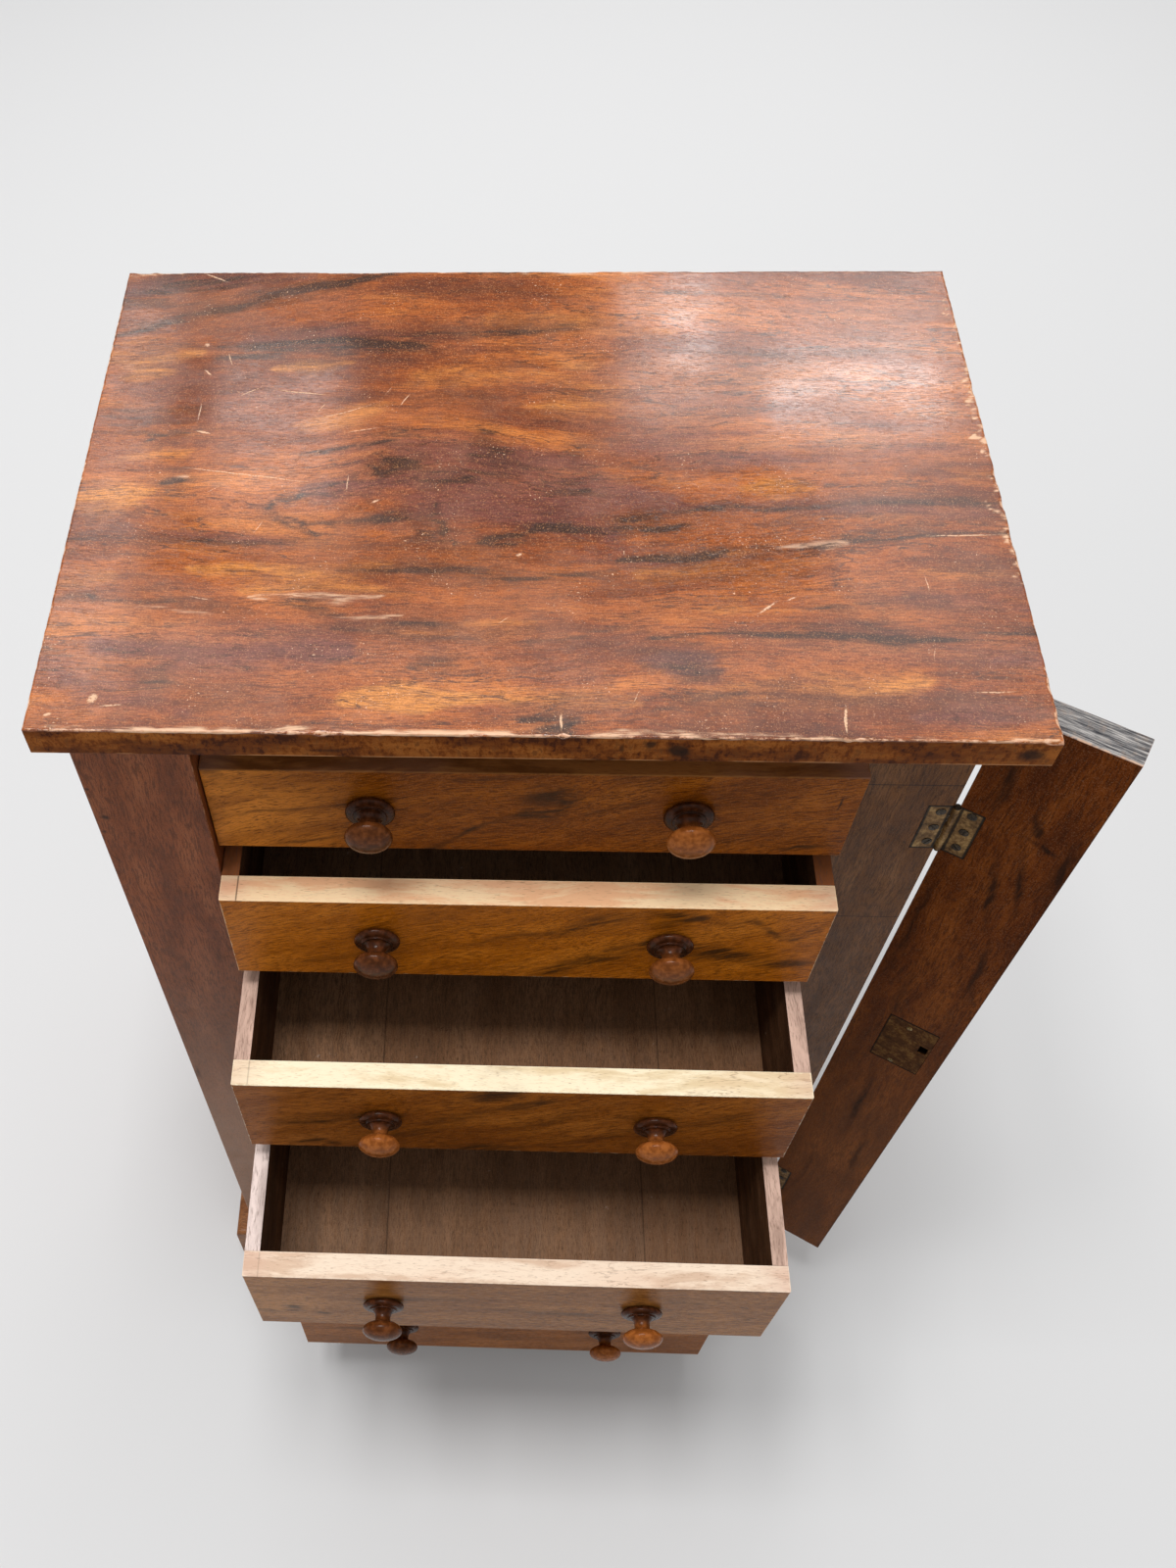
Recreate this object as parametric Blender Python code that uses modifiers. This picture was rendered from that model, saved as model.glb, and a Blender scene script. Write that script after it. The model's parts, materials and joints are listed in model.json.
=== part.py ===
"""A wellington chest: six graduated drawers between two stiles, and the hinged flap that locks them.

The origin lies on the floor, under the middle of the case and in the plane of the left stile's face.
The front looks along -Y, X runs to the right and Z is up. Every length is in metres.
"""

from math import cos, pi, radians, sin

import bmesh
import bpy
from mathutils import Matrix, Vector

# Clearances
FIT_GAP = 0.0003
OVERRUN = 0.010

# Whole chest
CHEST_HEIGHT = 1.032

# Top board
TOP_WIDTH = 0.600
TOP_DEPTH = 0.431
TOP_THICKNESS = 0.023
LEFT_OVERHANG = 0.0145
RIGHT_OVERHANG = 0.019
FRONT_OVERHANG = 0.017
BACK_OVERHANG = 0.006
TOP_ARRIS = 0.0014

# Plinth
PLINTH_HEIGHT = 0.095
PLINTH_PROJECTION = 0.0165
PLINTH_RAIL = 0.030
PLINTH_REBATE = 0.012
PLINTH_OVOLO = 0.005

# Case
SIDE_THICKNESS = 0.018
LEFT_STILE_WIDTH = 0.075
RIGHT_STILE_WIDTH = 0.069
STILE_THICKNESS = 0.022
FRIEZE_HEIGHT = 0.0445
FRIEZE_THICKNESS = 0.020
BACK_THICKNESS = 0.009
BACK_REBATE = 0.009
BOTTOM_BOARD_THICKNESS = 0.018
BOTTOM_BOARD_RISE = 0.0082
DUST_BOARD_THICKNESS = 0.018
HOUSING_DEPTH = 0.005
HOUSING_SETBACK = 0.003
GUIDE_WIDTH = 0.012
GUIDE_HEIGHT = 0.012
GUIDE_ROOT = 0.006
GUIDE_INSET = 0.002
CASE_ARRIS = 0.0010

# Drawers
DRAWER_COUNT = 6
DRAWER_HEIGHT_STEP = 0.0145
DRAWER_TOP_CLEARANCE = 0.003
DRAWER_SIDE_CLEARANCE = 0.00075
DRAWER_REAR_CLEARANCE = 0.014
DRAWER_OPEN_SHARES = (0.050, 0.135, 0.364, 0.639, 0.0, 0.449)
DRAWER_FRONT_THICKNESS = 0.020
DRAWER_SIDE_THICKNESS = 0.012
DRAWER_BACK_THICKNESS = 0.012
DRAWER_BOTTOM_THICKNESS = 0.006
DRAWER_SIDE_DROP = 0.0005
DRAWER_ARRIS = 0.0008
GROOVE_LIFT = 0.008
GROOVE_DEPTH = 0.005

# Dovetails
FRONT_LAP = 0.005
TAIL_PITCH = 0.030
TAIL_TIP_SHARE = 0.86
TAIL_SLOPE_SHARE = 0.16

# Turned knobs
KNOB_SPACING = 0.207
KNOB_HEIGHT_SHARE = 0.53
KNOB_BALL_RADIUS = 0.0158
KNOB_BALL_HALF_LENGTH = 0.0076
KNOB_BALL_CENTRE = 0.0222
KNOB_NECK_RADIUS = 0.0060
KNOB_NECK_START = 0.0128
KNOB_RING_RADIUS = 0.0112
KNOB_RING_FACE = 0.0068
KNOB_RING_LENGTH = 0.0010
KNOB_ROSE_RADIUS = 0.0165
KNOB_ROSE_ROLL = 0.0040
KNOB_SPIGOT_RADIUS = 0.0047
KNOB_SPIGOT_LENGTH = 0.014
KNOB_SEGMENTS = 12

# Locking flap
FLAP_WIDTH = 0.0795
FLAP_THICKNESS = 0.024
FLAP_FACE_GAP = 0.001
FLAP_END_GAP = 0.002
FLAP_HINGE_GAP = 0.0015
FLAP_ARRIS = 0.0015
FLAP_OPEN_ANGLE = radians(150.5)

# Butt hinges
HINGE_LENGTH = 0.0508
HINGE_INSET = 0.125
HINGE_LEAF_REACH = 0.0185
HINGE_LEAF_THICKNESS = 0.0016
HINGE_BARREL_RADIUS = 0.0024
HINGE_PIN_RADIUS = 0.0012
HINGE_KNUCKLES = 5
HINGE_SEGMENTS = 12

# Lock
LOCK_FROM_AXIS = 0.027
LOCK_WIDTH = 0.041
LOCK_HEIGHT = 0.074
LOCK_DEPTH = 0.012
LOCK_CENTRE_HEIGHT = 0.592
PORT_WIDTH = 0.007
PORT_HEIGHT = 0.011
PORT_DEPTH = 0.008
PORT_FROM_AXIS = 0.0627
PORT_LIFT = 0.005
KEYHOLE_RADIUS = 0.0022
KEYHOLE_SLOT_WIDTH = 0.0020
KEYHOLE_SLOT_LENGTH = 0.009
KEYHOLE_DEPTH_IN_LOCK = 0.005

# Planes that follow from these sizes
CASE_HALF_WIDTH = (TOP_WIDTH - LEFT_OVERHANG - RIGHT_OVERHANG) / 2
CASE_BACK = TOP_DEPTH - FRONT_OVERHANG - BACK_OVERHANG
PANEL_FACE = CASE_BACK - BACK_THICKNESS
RECESS = FLAP_THICKNESS + FLAP_FACE_GAP
CASE_HEAD = CHEST_HEIGHT - TOP_THICKNESS
CASE_HEIGHT = CASE_HEAD - PLINTH_HEIGHT
FRIEZE_FOOT = CASE_HEAD - FRIEZE_HEIGHT
BOTTOM_BOARD_HEAD = PLINTH_HEIGHT + BOTTOM_BOARD_RISE
BETWEEN_DRAWERS = DRAWER_TOP_CLEARANCE + DUST_BOARD_THICKNESS + FIT_GAP
DRAWER_ROOM = FRIEZE_FOOT - DRAWER_TOP_CLEARANCE - BOTTOM_BOARD_HEAD - FIT_GAP
ALL_STEPS = DRAWER_HEIGHT_STEP * DRAWER_COUNT * (DRAWER_COUNT - 1) / 2
ALL_FRONTS = DRAWER_ROOM - (DRAWER_COUNT - 1) * BETWEEN_DRAWERS
FIRST_DRAWER_HEIGHT = (ALL_FRONTS - ALL_STEPS) / DRAWER_COUNT
STILE_BACK = RECESS + STILE_THICKNESS
CASE_INSIDE = CASE_HALF_WIDTH - SIDE_THICKNESS
OPENING_LEFT = LEFT_STILE_WIDTH - CASE_HALF_WIDTH
OPENING_RIGHT = CASE_HALF_WIDTH - RIGHT_STILE_WIDTH
DRAWER_WIDTH = OPENING_RIGHT - OPENING_LEFT - 2 * DRAWER_SIDE_CLEARANCE
DRAWER_LENGTH = PANEL_FACE - RECESS - DRAWER_REAR_CLEARANCE
DRAWER_CENTRE = (OPENING_LEFT + OPENING_RIGHT) / 2
GROOVE_HEIGHT = DRAWER_BOTTOM_THICKNESS + 2 * FIT_GAP
DRAWER_BACK_FOOT = GROOVE_LIFT + GROOVE_HEIGHT
HINGE_X = CASE_HALF_WIDTH + FLAP_HINGE_GAP
HINGE_Y = RECESS - FLAP_FACE_GAP / 2
FLAP_INNER_FACE = -FLAP_FACE_GAP / 2
FLAP_OUTER_FACE = FLAP_INNER_FACE - FLAP_THICKNESS
FLAP_FOOT = PLINTH_HEIGHT + FLAP_END_GAP
FLAP_HEAD = CASE_HEAD - FLAP_END_GAP
UPPER_HINGE_HEIGHT = FLAP_HEAD - HINGE_INSET
LOWER_HINGE_HEIGHT = FLAP_FOOT + HINGE_INSET

# Turns for outlines drawn from front to back: flat across the case, or upright along a drawer side
ACROSS = (0.0, 0.0, pi / 2)
UPRIGHT = (pi / 2, 0.0, pi / 2)


def drawer_height(number):
    """Height of a drawer's front: each drawer is one step deeper than the one above it."""
    return FIRST_DRAWER_HEIGHT + (number - 1) * DRAWER_HEIGHT_STEP


def drawer_foot(number):
    """Height of a drawer's lower edge, added up from the plinth through the drawers below it."""
    foot = BOTTOM_BOARD_HEAD + FIT_GAP
    for below in range(number + 1, DRAWER_COUNT + 1):
        foot += drawer_height(below) + BETWEEN_DRAWERS
    return foot


def drawer_opening(number):
    """How far a drawer stands open at rest."""
    return DRAWER_OPEN_SHARES[number - 1] * DRAWER_LENGTH


def clear_scene():
    """Removes whatever the scene holds."""
    for old in list(bpy.data.objects):
        bpy.data.objects.remove(old)


def new_collection(name):
    """A collection under the scene's own."""
    collection = bpy.data.collections.new(name)
    bpy.context.scene.collection.children.link(collection)
    return collection


clear_scene()
PIECES = new_collection("wellington_chest")
CUTTERS = new_collection("cutters")


def principled(name, colour, roughness, metallic=0.0):
    """A Principled material of one colour."""
    material = bpy.data.materials.new(name)
    material.use_nodes = True
    shader = material.node_tree.nodes["Principled BSDF"]
    shader.inputs["Base Color"].default_value = (*colour, 1.0)
    shader.inputs["Roughness"].default_value = roughness
    shader.inputs["Metallic"].default_value = metallic
    material.diffuse_color = (*colour, 1.0)
    return material


def figured_walnut():
    """Polished reddish walnut of the top, the stiles, the flap and the plinth."""
    return principled("figured_walnut", (0.22, 0.085, 0.04), 0.38)


def golden_walnut():
    """Golden-brown walnut of the drawer fronts."""
    return principled("golden_walnut", (0.26, 0.105, 0.03), 0.42)


def drawer_lining():
    """Dry, grey-brown wood of the drawer linings and the boards inside the case."""
    return principled("drawer_lining", (0.15, 0.095, 0.06), 0.8)


def turned_walnut():
    """Dark, handled wood of the knobs."""
    return principled("turned_walnut", (0.13, 0.035, 0.014), 0.28)


def aged_brass():
    """Brown, tarnished brass of the hinges and the lock."""
    return principled("aged_brass", (0.17, 0.12, 0.06), 0.5, 0.85)


WALNUT = figured_walnut()
FRONT_WOOD = golden_walnut()
LINING = drawer_lining()
KNOB_WOOD = turned_walnut()
BRASS = aged_brass()


def link(name, mesh, finish, location, rotation, parent):
    """Puts a mesh in the scene: with a finish it is a piece of the chest, without one it is a cutter."""
    made = bpy.data.objects.new(name, mesh)
    if finish is None:
        CUTTERS.objects.link(made)
        made.hide_render = True
        made.display_type = "WIRE"
    else:
        PIECES.objects.link(made)
        made.data.materials.append(finish)
    made.location = location
    made.rotation_euler = rotation
    made.parent = parent
    return made


def joint_empty(name, location, angle=0.0):
    """An empty on a joint's axis, which carries the pieces that move with it."""
    empty = bpy.data.objects.new(name, None)
    PIECES.objects.link(empty)
    empty.location = location
    empty.rotation_euler = (0.0, 0.0, angle)
    return empty


def box(name, low, high, finish=None, parent=None):
    """A box between two corners given in its parent's frame."""
    size = Vector(high) - Vector(low)
    shape = bmesh.new()
    bmesh.ops.create_cube(shape, size=1.0, matrix=Matrix.Diagonal((*size, 1.0)))
    mesh = bpy.data.meshes.new(name)
    shape.to_mesh(mesh)
    shape.free()
    return link(name, mesh, finish, (Vector(high) + Vector(low)) / 2, (0.0, 0.0, 0.0), parent)


def cylinder(name, radius, length, centre, finish=None, parent=None, along_y=False, segments=HINGE_SEGMENTS):
    """A closed cylinder about Z, or about Y, by its centre."""
    shape = bmesh.new()
    bmesh.ops.create_cone(
        shape, cap_ends=True, segments=segments, radius1=radius, radius2=radius, depth=length
    )
    mesh = bpy.data.meshes.new(name)
    shape.to_mesh(mesh)
    shape.free()
    turn = (pi / 2, 0.0, 0.0) if along_y else (0.0, 0.0, 0.0)
    return link(name, mesh, finish, centre, turn, parent)


def mesh_of(source, name):
    """The evaluated mesh of a curve or a modified object, with its seams welded."""
    bpy.context.view_layer.update()
    graph = bpy.context.evaluated_depsgraph_get()
    mesh = bpy.data.meshes.new_from_object(source.evaluated_get(graph))
    mesh.name = name
    shape = bmesh.new()
    shape.from_mesh(mesh)
    bmesh.ops.remove_doubles(shape, verts=shape.verts, dist=FIT_GAP / 100)
    bmesh.ops.recalc_face_normals(shape, faces=shape.faces)
    shape.to_mesh(mesh)
    shape.free()
    return mesh


def join_coplanar_faces(mesh):
    """Makes one face of the triangles that fill each flat cap."""
    shape = bmesh.new()
    shape.from_mesh(mesh)
    bmesh.ops.dissolve_limit(shape, angle_limit=radians(1), verts=shape.verts, edges=shape.edges)
    shape.to_mesh(mesh)
    shape.free()


def flat_outline(name, outlines, thickness, location, rotation=(0.0, 0.0, 0.0), finish=None, parent=None):
    """Closed outlines in XY, filled and given a thickness that is centred on their plane."""
    curve = bpy.data.curves.new(name, "CURVE")
    curve.dimensions = "2D"
    curve.fill_mode = "BOTH"
    curve.extrude = thickness / 2
    for points in outlines:
        spline = curve.splines.new("POLY")
        spline.points.add(len(points) - 1)
        for point, (across, up) in zip(spline.points, points):
            point.co = (across, up, 0.0, 1.0)
        spline.use_cyclic_u = True
    flat = bpy.data.objects.new(name + "_outline", curve)
    PIECES.objects.link(flat)
    mesh = mesh_of(flat, name)
    bpy.data.objects.remove(flat)
    bpy.data.curves.remove(curve)
    join_coplanar_faces(mesh)
    mesh.materials.clear()
    return link(name, mesh, finish, location, rotation, parent)


def turned(name, profile, finish, location, rotation, parent):
    """A turned piece: a profile of (radius, height) points, from its top down its outer side, about Z."""
    mesh = bpy.data.meshes.new(name + "_profile")
    points = [(radius, 0.0, height) for radius, height in profile]
    edges = [(index, index + 1) for index in range(len(points) - 1)]
    mesh.from_pydata(points, edges, [])
    spun = bpy.data.objects.new(name + "_profile", mesh)
    PIECES.objects.link(spun)
    screw = spun.modifiers.new("turn", "SCREW")
    screw.axis = "Z"
    screw.steps = KNOB_SEGMENTS
    screw.render_steps = KNOB_SEGMENTS
    screw.use_merge_vertices = True
    screw.merge_threshold = FIT_GAP / 10
    solid = mesh_of(spun, name)
    solid.shade_smooth()
    solid.set_sharp_from_angle(angle=radians(40))
    bpy.data.objects.remove(spun)
    bpy.data.meshes.remove(mesh)
    return link(name, solid, finish, location, rotation, parent)


def boolean(piece, other, operation):
    """Adds one Boolean modifier with the exact solver."""
    modifier = piece.modifiers.new(other.name, "BOOLEAN")
    modifier.operation = operation
    modifier.solver = "EXACT"
    modifier.object = other


def cut(piece, *cutters):
    """Cuts each cutter out of a piece."""
    for cutter in cutters:
        boolean(piece, cutter, "DIFFERENCE")


def fuse(piece, *additions):
    """Joins each addition to a piece."""
    for addition in additions:
        boolean(piece, addition, "UNION")


def soften(piece, width, segments, chosen):
    """Rounds the edges whose two ends both pass the chosen test, which is given in the piece's own frame."""
    mesh = piece.data
    weights = mesh.attributes.new("bevel_weight_edge", "FLOAT", "EDGE")
    for edge in mesh.edges:
        ends = [mesh.vertices[index].co for index in edge.vertices]
        weights.data[edge.index].value = 1.0 if chosen(*ends) else 0.0
    bevel = piece.modifiers.new("arris", "BEVEL")
    bevel.limit_method = "WEIGHT"
    bevel.width = width
    bevel.segments = segments


def all_edges(start, end):
    """Chooses every edge of a piece."""
    return True


def top_board():
    """The figured top, which oversails the case all round, and most on the hinge side."""
    low = (-CASE_HALF_WIDTH - LEFT_OVERHANG, -FRONT_OVERHANG, CASE_HEAD)
    high = (CASE_HALF_WIDTH + RIGHT_OVERHANG, TOP_DEPTH - FRONT_OVERHANG, CASE_HEAD + TOP_THICKNESS)
    board = box("top_board", low, high, WALNUT)
    soften(board, TOP_ARRIS, 2, all_edges)


def housings(side, sign):
    """Stopped housings in a case side, one for the end of each dust board."""
    for number in range(1, DRAWER_COUNT):
        head = drawer_foot(number) - FIT_GAP
        across = sorted((sign * (CASE_INSIDE - OVERRUN), sign * (CASE_INSIDE + HOUSING_DEPTH)))
        low = (across[0], STILE_BACK + HOUSING_SETBACK, head - DUST_BOARD_THICKNESS - FIT_GAP)
        high = (across[1], CASE_BACK, head + FIT_GAP)
        cut(side, box(f"{side.name}_housing_{number}", low, high))


def case_side(name, sign, face, stile_edge):
    """One case side with its front stile as a single L, rebated at the back for the panel.

    The face is the plane of the stile's front, and the stile edge is the side of the drawer opening.
    """
    outside = sign * CASE_HALF_WIDTH
    inside = sign * CASE_INSIDE
    shoulder = PANEL_FACE - FIT_GAP
    points = [
        (outside, face),
        (stile_edge, face),
        (stile_edge, STILE_BACK),
        (inside, STILE_BACK),
        (inside, shoulder),
        (inside + sign * BACK_REBATE, shoulder),
        (inside + sign * BACK_REBATE, CASE_BACK),
        (outside, CASE_BACK),
    ]
    middle = PLINTH_HEIGHT + CASE_HEIGHT / 2
    side = flat_outline(name, [points], CASE_HEIGHT - 2 * FIT_GAP, (0.0, 0.0, middle), finish=WALNUT)

    def front_arris(start, end):
        at_face = max(abs(start.y - face), abs(end.y - face)) < FIT_GAP
        return at_face and abs(start.x - end.x) < FIT_GAP

    soften(side, CASE_ARRIS, 2, front_arris)
    housings(side, sign)
    return side


def case_sides():
    """The left side carries the fixed pilaster, and the right side the set-back stile for the flap."""
    case_side("case_side_left", -1, 0.0, OPENING_LEFT)
    right = case_side("case_side_right", 1, RECESS, OPENING_RIGHT)
    for place, height in (("upper", UPPER_HINGE_HEIGHT), ("lower", LOWER_HINGE_HEIGHT)):
        gain_low = (
            HINGE_X - HINGE_LEAF_REACH - FIT_GAP,
            RECESS - OVERRUN,
            height - HINGE_LENGTH / 2 - FIT_GAP,
        )
        gain_high = (
            HINGE_X + OVERRUN,
            RECESS + HINGE_LEAF_THICKNESS + FIT_GAP,
            height + HINGE_LENGTH / 2 + FIT_GAP,
        )
        cut(right, box(f"stile_gain_{place}", gain_low, gain_high))
        cut(right, barrel_groove(f"stile_groove_{place}", (HINGE_X, HINGE_Y, height)))


def barrel_groove(name, centre, parent=None):
    """A round groove that clears the barrel of one hinge."""
    radius = HINGE_BARREL_RADIUS + FIT_GAP
    return cylinder(name, radius, HINGE_LENGTH + 2 * FIT_GAP, centre, parent=parent)


def back_panel():
    """The thin back, flush in the rebates of the sides."""
    reach = CASE_INSIDE + BACK_REBATE - FIT_GAP
    low = (-reach, PANEL_FACE, PLINTH_HEIGHT + FIT_GAP)
    high = (reach, CASE_BACK, CASE_HEAD - FIT_GAP)
    box("back_panel", low, high, LINING)


def frieze_rail():
    """The rail between the stiles, over the first drawer."""
    low = (OPENING_LEFT + FIT_GAP, RECESS, FRIEZE_FOOT)
    high = (OPENING_RIGHT - FIT_GAP, RECESS + FRIEZE_THICKNESS, CASE_HEAD - FIT_GAP)
    box("frieze_rail", low, high, WALNUT)


def guide_strips(board, head, back):
    """Two strips on a board, in line with the stiles, which keep the drawer above it straight."""
    start = STILE_BACK + FIT_GAP + GUIDE_INSET
    for place, low_x in (("left", OPENING_LEFT - GUIDE_WIDTH), ("right", OPENING_RIGHT)):
        low = (low_x, start, head - GUIDE_ROOT)
        high = (low_x + GUIDE_WIDTH, back - GUIDE_INSET, head + GUIDE_HEIGHT)
        fuse(board, box(f"{board.name}_guide_{place}", low, high))


def between_stiles(back, housing_depth):
    """The outline of a board that fills the case from the drawer opening to its back edge.

    It is drawn from front to back, to be turned by a right angle. Its ends reach into the sides by the
    housing depth, from a little behind the stiles.
    """
    shoulder = STILE_BACK + FIT_GAP
    housed = STILE_BACK + HOUSING_SETBACK + FIT_GAP
    wide = CASE_INSIDE - FIT_GAP
    widest = wide + housing_depth
    ends = [(shoulder, wide)]
    if housing_depth:
        ends += [(housed, wide), (housed, widest)]
    ends += [(back, widest)]
    right = [(RECESS, FIT_GAP - OPENING_RIGHT), (shoulder, FIT_GAP - OPENING_RIGHT)]
    right += [(along, -across) for along, across in ends]
    left = [(RECESS, -OPENING_LEFT - FIT_GAP), (shoulder, -OPENING_LEFT - FIT_GAP)] + ends
    return right + left[::-1]


def bottom_board():
    """A slab in the plinth's rebate, and on it the board between the sides that carries the lowest drawer."""
    reach = CASE_HALF_WIDTH + PLINTH_PROJECTION - PLINTH_RAIL + PLINTH_REBATE - FIT_GAP
    front = PLINTH_RAIL - PLINTH_PROJECTION - PLINTH_REBATE + FIT_GAP
    back = CASE_BACK - PLINTH_RAIL + PLINTH_REBATE - FIT_GAP
    low = (-reach, front, PLINTH_HEIGHT - BOTTOM_BOARD_THICKNESS)
    high = (reach, back, PLINTH_HEIGHT)
    board = box("bottom_board", low, high, LINING)
    sunk = BOTTOM_BOARD_THICKNESS / 2
    spot = (0.0, 0.0, PLINTH_HEIGHT + (BOTTOM_BOARD_RISE - sunk) / 2)
    floor = flat_outline("case_floor", [between_stiles(back, 0.0)], BOTTOM_BOARD_RISE + sunk, spot, ACROSS)
    fuse(board, floor)
    guide_strips(board, BOTTOM_BOARD_HEAD, back)


def dust_board(number):
    """The board under one drawer: its front edge shows between the stiles, its ends lie in the housings."""
    head = drawer_foot(number) - FIT_GAP
    spot = (0.0, 0.0, head - DUST_BOARD_THICKNESS / 2)
    back = PANEL_FACE - FIT_GAP
    outline = between_stiles(back, HOUSING_DEPTH)
    board = flat_outline(f"dust_board_{number}", [outline], DUST_BOARD_THICKNESS, spot, ACROSS, LINING)
    guide_strips(board, head, back)


def plinth_frame():
    """The standing frame: moulded on the front and the sides, hollow, and rebated for the bottom board."""
    reach = CASE_HALF_WIDTH + PLINTH_PROJECTION
    frame = box("plinth_frame", (-reach, -PLINTH_PROJECTION, 0.0), (reach, CASE_BACK, PLINTH_HEIGHT), WALNUT)
    rear = (CASE_BACK + PLINTH_PROJECTION) / 2

    def shown_top_edge(start, end):
        at_top = min(start.z, end.z) > 0.0
        at_rear = min(start.y, end.y) > rear - FIT_GAP
        return at_top and not at_rear

    soften(frame, PLINTH_OVOLO, 4, shown_top_edge)
    inside = reach - PLINTH_RAIL
    hollow_front = PLINTH_RAIL - PLINTH_PROJECTION
    hollow_back = CASE_BACK - PLINTH_RAIL
    hollow_low = (-inside, hollow_front, -OVERRUN)
    hollow_high = (inside, hollow_back, PLINTH_HEIGHT + OVERRUN)
    ledge = PLINTH_HEIGHT - BOTTOM_BOARD_THICKNESS - FIT_GAP
    rebate_low = (-inside - PLINTH_REBATE, hollow_front - PLINTH_REBATE, ledge)
    rebate_high = (inside + PLINTH_REBATE, hollow_back + PLINTH_REBATE, PLINTH_HEIGHT + OVERRUN)
    cut(frame, box("plinth_hollow", hollow_low, hollow_high), box("plinth_rebate", rebate_low, rebate_high))


def tail_places(foot, head):
    """The middles and the tip width of evenly pitched tails between two heights."""
    count = max(2, round((head - foot) / TAIL_PITCH))
    pitch = (head - foot) / count
    middles = [foot + pitch * (index + 0.5) for index in range(count)]
    return middles, pitch * TAIL_TIP_SHARE


def tail_edge(middles, tip_width, shoulder, tip):
    """The points of one board end with its tails, going up from the shoulder line."""
    root_width = tip_width - 2 * abs(tip - shoulder) * TAIL_SLOPE_SHARE
    points = []
    for middle in middles:
        points += [
            (shoulder, middle - root_width / 2),
            (tip, middle - tip_width / 2),
            (tip, middle + tip_width / 2),
            (shoulder, middle + root_width / 2),
        ]
    return points


def socket_outlines(middles, tip_width, tip, far):
    """One tapered outline for each socket, from past the tail's tip to past the board's inner face."""
    clear_width = tip_width + 2 * FIT_GAP
    far_width = clear_width - 2 * abs(far - tip) * TAIL_SLOPE_SHARE
    return [
        [
            (tip, middle - clear_width / 2),
            (tip, middle + clear_width / 2),
            (far, middle + far_width / 2),
            (far, middle - far_width / 2),
        ]
        for middle in middles
    ]


def front_tails(height):
    """Tails of the lapped joint between a drawer side and its front."""
    return tail_places(0.0, height - DRAWER_SIDE_DROP)


def back_tails(height):
    """Tails of the through joint between a drawer side and its back."""
    return tail_places(DRAWER_BACK_FOOT, height - DRAWER_SIDE_DROP)


def drawer_front(number, height, slide):
    """A drawer front with lapped dovetail sockets, a groove for the bottom and holes for the knobs."""
    half = DRAWER_WIDTH / 2
    name = f"drawer_{number}_front"
    front = box(name, (-half, 0.0, 0.0), (half, DRAWER_FRONT_THICKNESS, height), FRONT_WOOD, slide)
    soften(front, DRAWER_ARRIS, 2, lambda start, end: max(start.y, end.y) < 0.0)
    middles, tip_width = front_tails(height)
    tip = FRONT_LAP - FIT_GAP
    far = DRAWER_FRONT_THICKNESS + OVERRUN
    sockets = socket_outlines(middles, tip_width, tip, far)
    depth = DRAWER_SIDE_THICKNESS + FIT_GAP + OVERRUN
    for sign, place in ((-1, "left"), (1, "right")):
        across = sign * (half + OVERRUN - depth / 2)
        cut(front, flat_outline(f"{name}_sockets_{place}", sockets, depth, (across, 0.0, 0.0), UPRIGHT, None, slide))
        hole_length = KNOB_SPIGOT_LENGTH + 2 * FIT_GAP + OVERRUN
        hole_centre = (
            sign * KNOB_SPACING / 2,
            hole_length / 2 - OVERRUN,
            height * KNOB_HEIGHT_SHARE,
        )
        radius = KNOB_SPIGOT_RADIUS + FIT_GAP
        cut(front, cylinder(f"{name}_hole_{place}", radius, hole_length, hole_centre, None, slide, True))
    groove_reach = half - DRAWER_SIDE_THICKNESS + GROOVE_DEPTH
    groove_low = (-groove_reach, DRAWER_FRONT_THICKNESS - GROOVE_DEPTH, GROOVE_LIFT)
    groove_high = (groove_reach, DRAWER_FRONT_THICKNESS + OVERRUN, GROOVE_LIFT + GROOVE_HEIGHT)
    cut(front, box(f"{name}_groove", groove_low, groove_high, None, slide))


def drawer_side(number, height, slide, sign, place):
    """A drawer side: lapped tails in front, through tails behind, and a groove for the bottom."""
    top = height - DRAWER_SIDE_DROP
    shoulder = DRAWER_FRONT_THICKNESS + FIT_GAP
    rear_shoulder = DRAWER_LENGTH - DRAWER_BACK_THICKNESS - FIT_GAP
    front_edge = tail_edge(*front_tails(height), shoulder, FRONT_LAP)
    back_edge = tail_edge(*back_tails(height), rear_shoulder, DRAWER_LENGTH)
    step = DRAWER_BACK_FOOT - FIT_GAP
    points = [(shoulder, 0.0)] + front_edge + [(shoulder, top), (rear_shoulder, top)]
    points += back_edge[::-1] + [(rear_shoulder, step), (DRAWER_LENGTH, step), (DRAWER_LENGTH, 0.0)]
    across = sign * (DRAWER_WIDTH - DRAWER_SIDE_THICKNESS) / 2
    name = f"drawer_{number}_side_{place}"
    side = flat_outline(name, [points], DRAWER_SIDE_THICKNESS, (across, 0.0, 0.0), UPRIGHT, LINING, slide)
    inner = DRAWER_WIDTH / 2 - DRAWER_SIDE_THICKNESS
    reach = sorted((sign * (inner - OVERRUN), sign * (inner + GROOVE_DEPTH)))
    low = (reach[0], DRAWER_FRONT_THICKNESS - GROOVE_DEPTH, GROOVE_LIFT)
    high = (reach[1], DRAWER_LENGTH + OVERRUN, GROOVE_LIFT + GROOVE_HEIGHT)
    cut(side, box(f"{name}_groove", low, high, None, slide))


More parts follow.
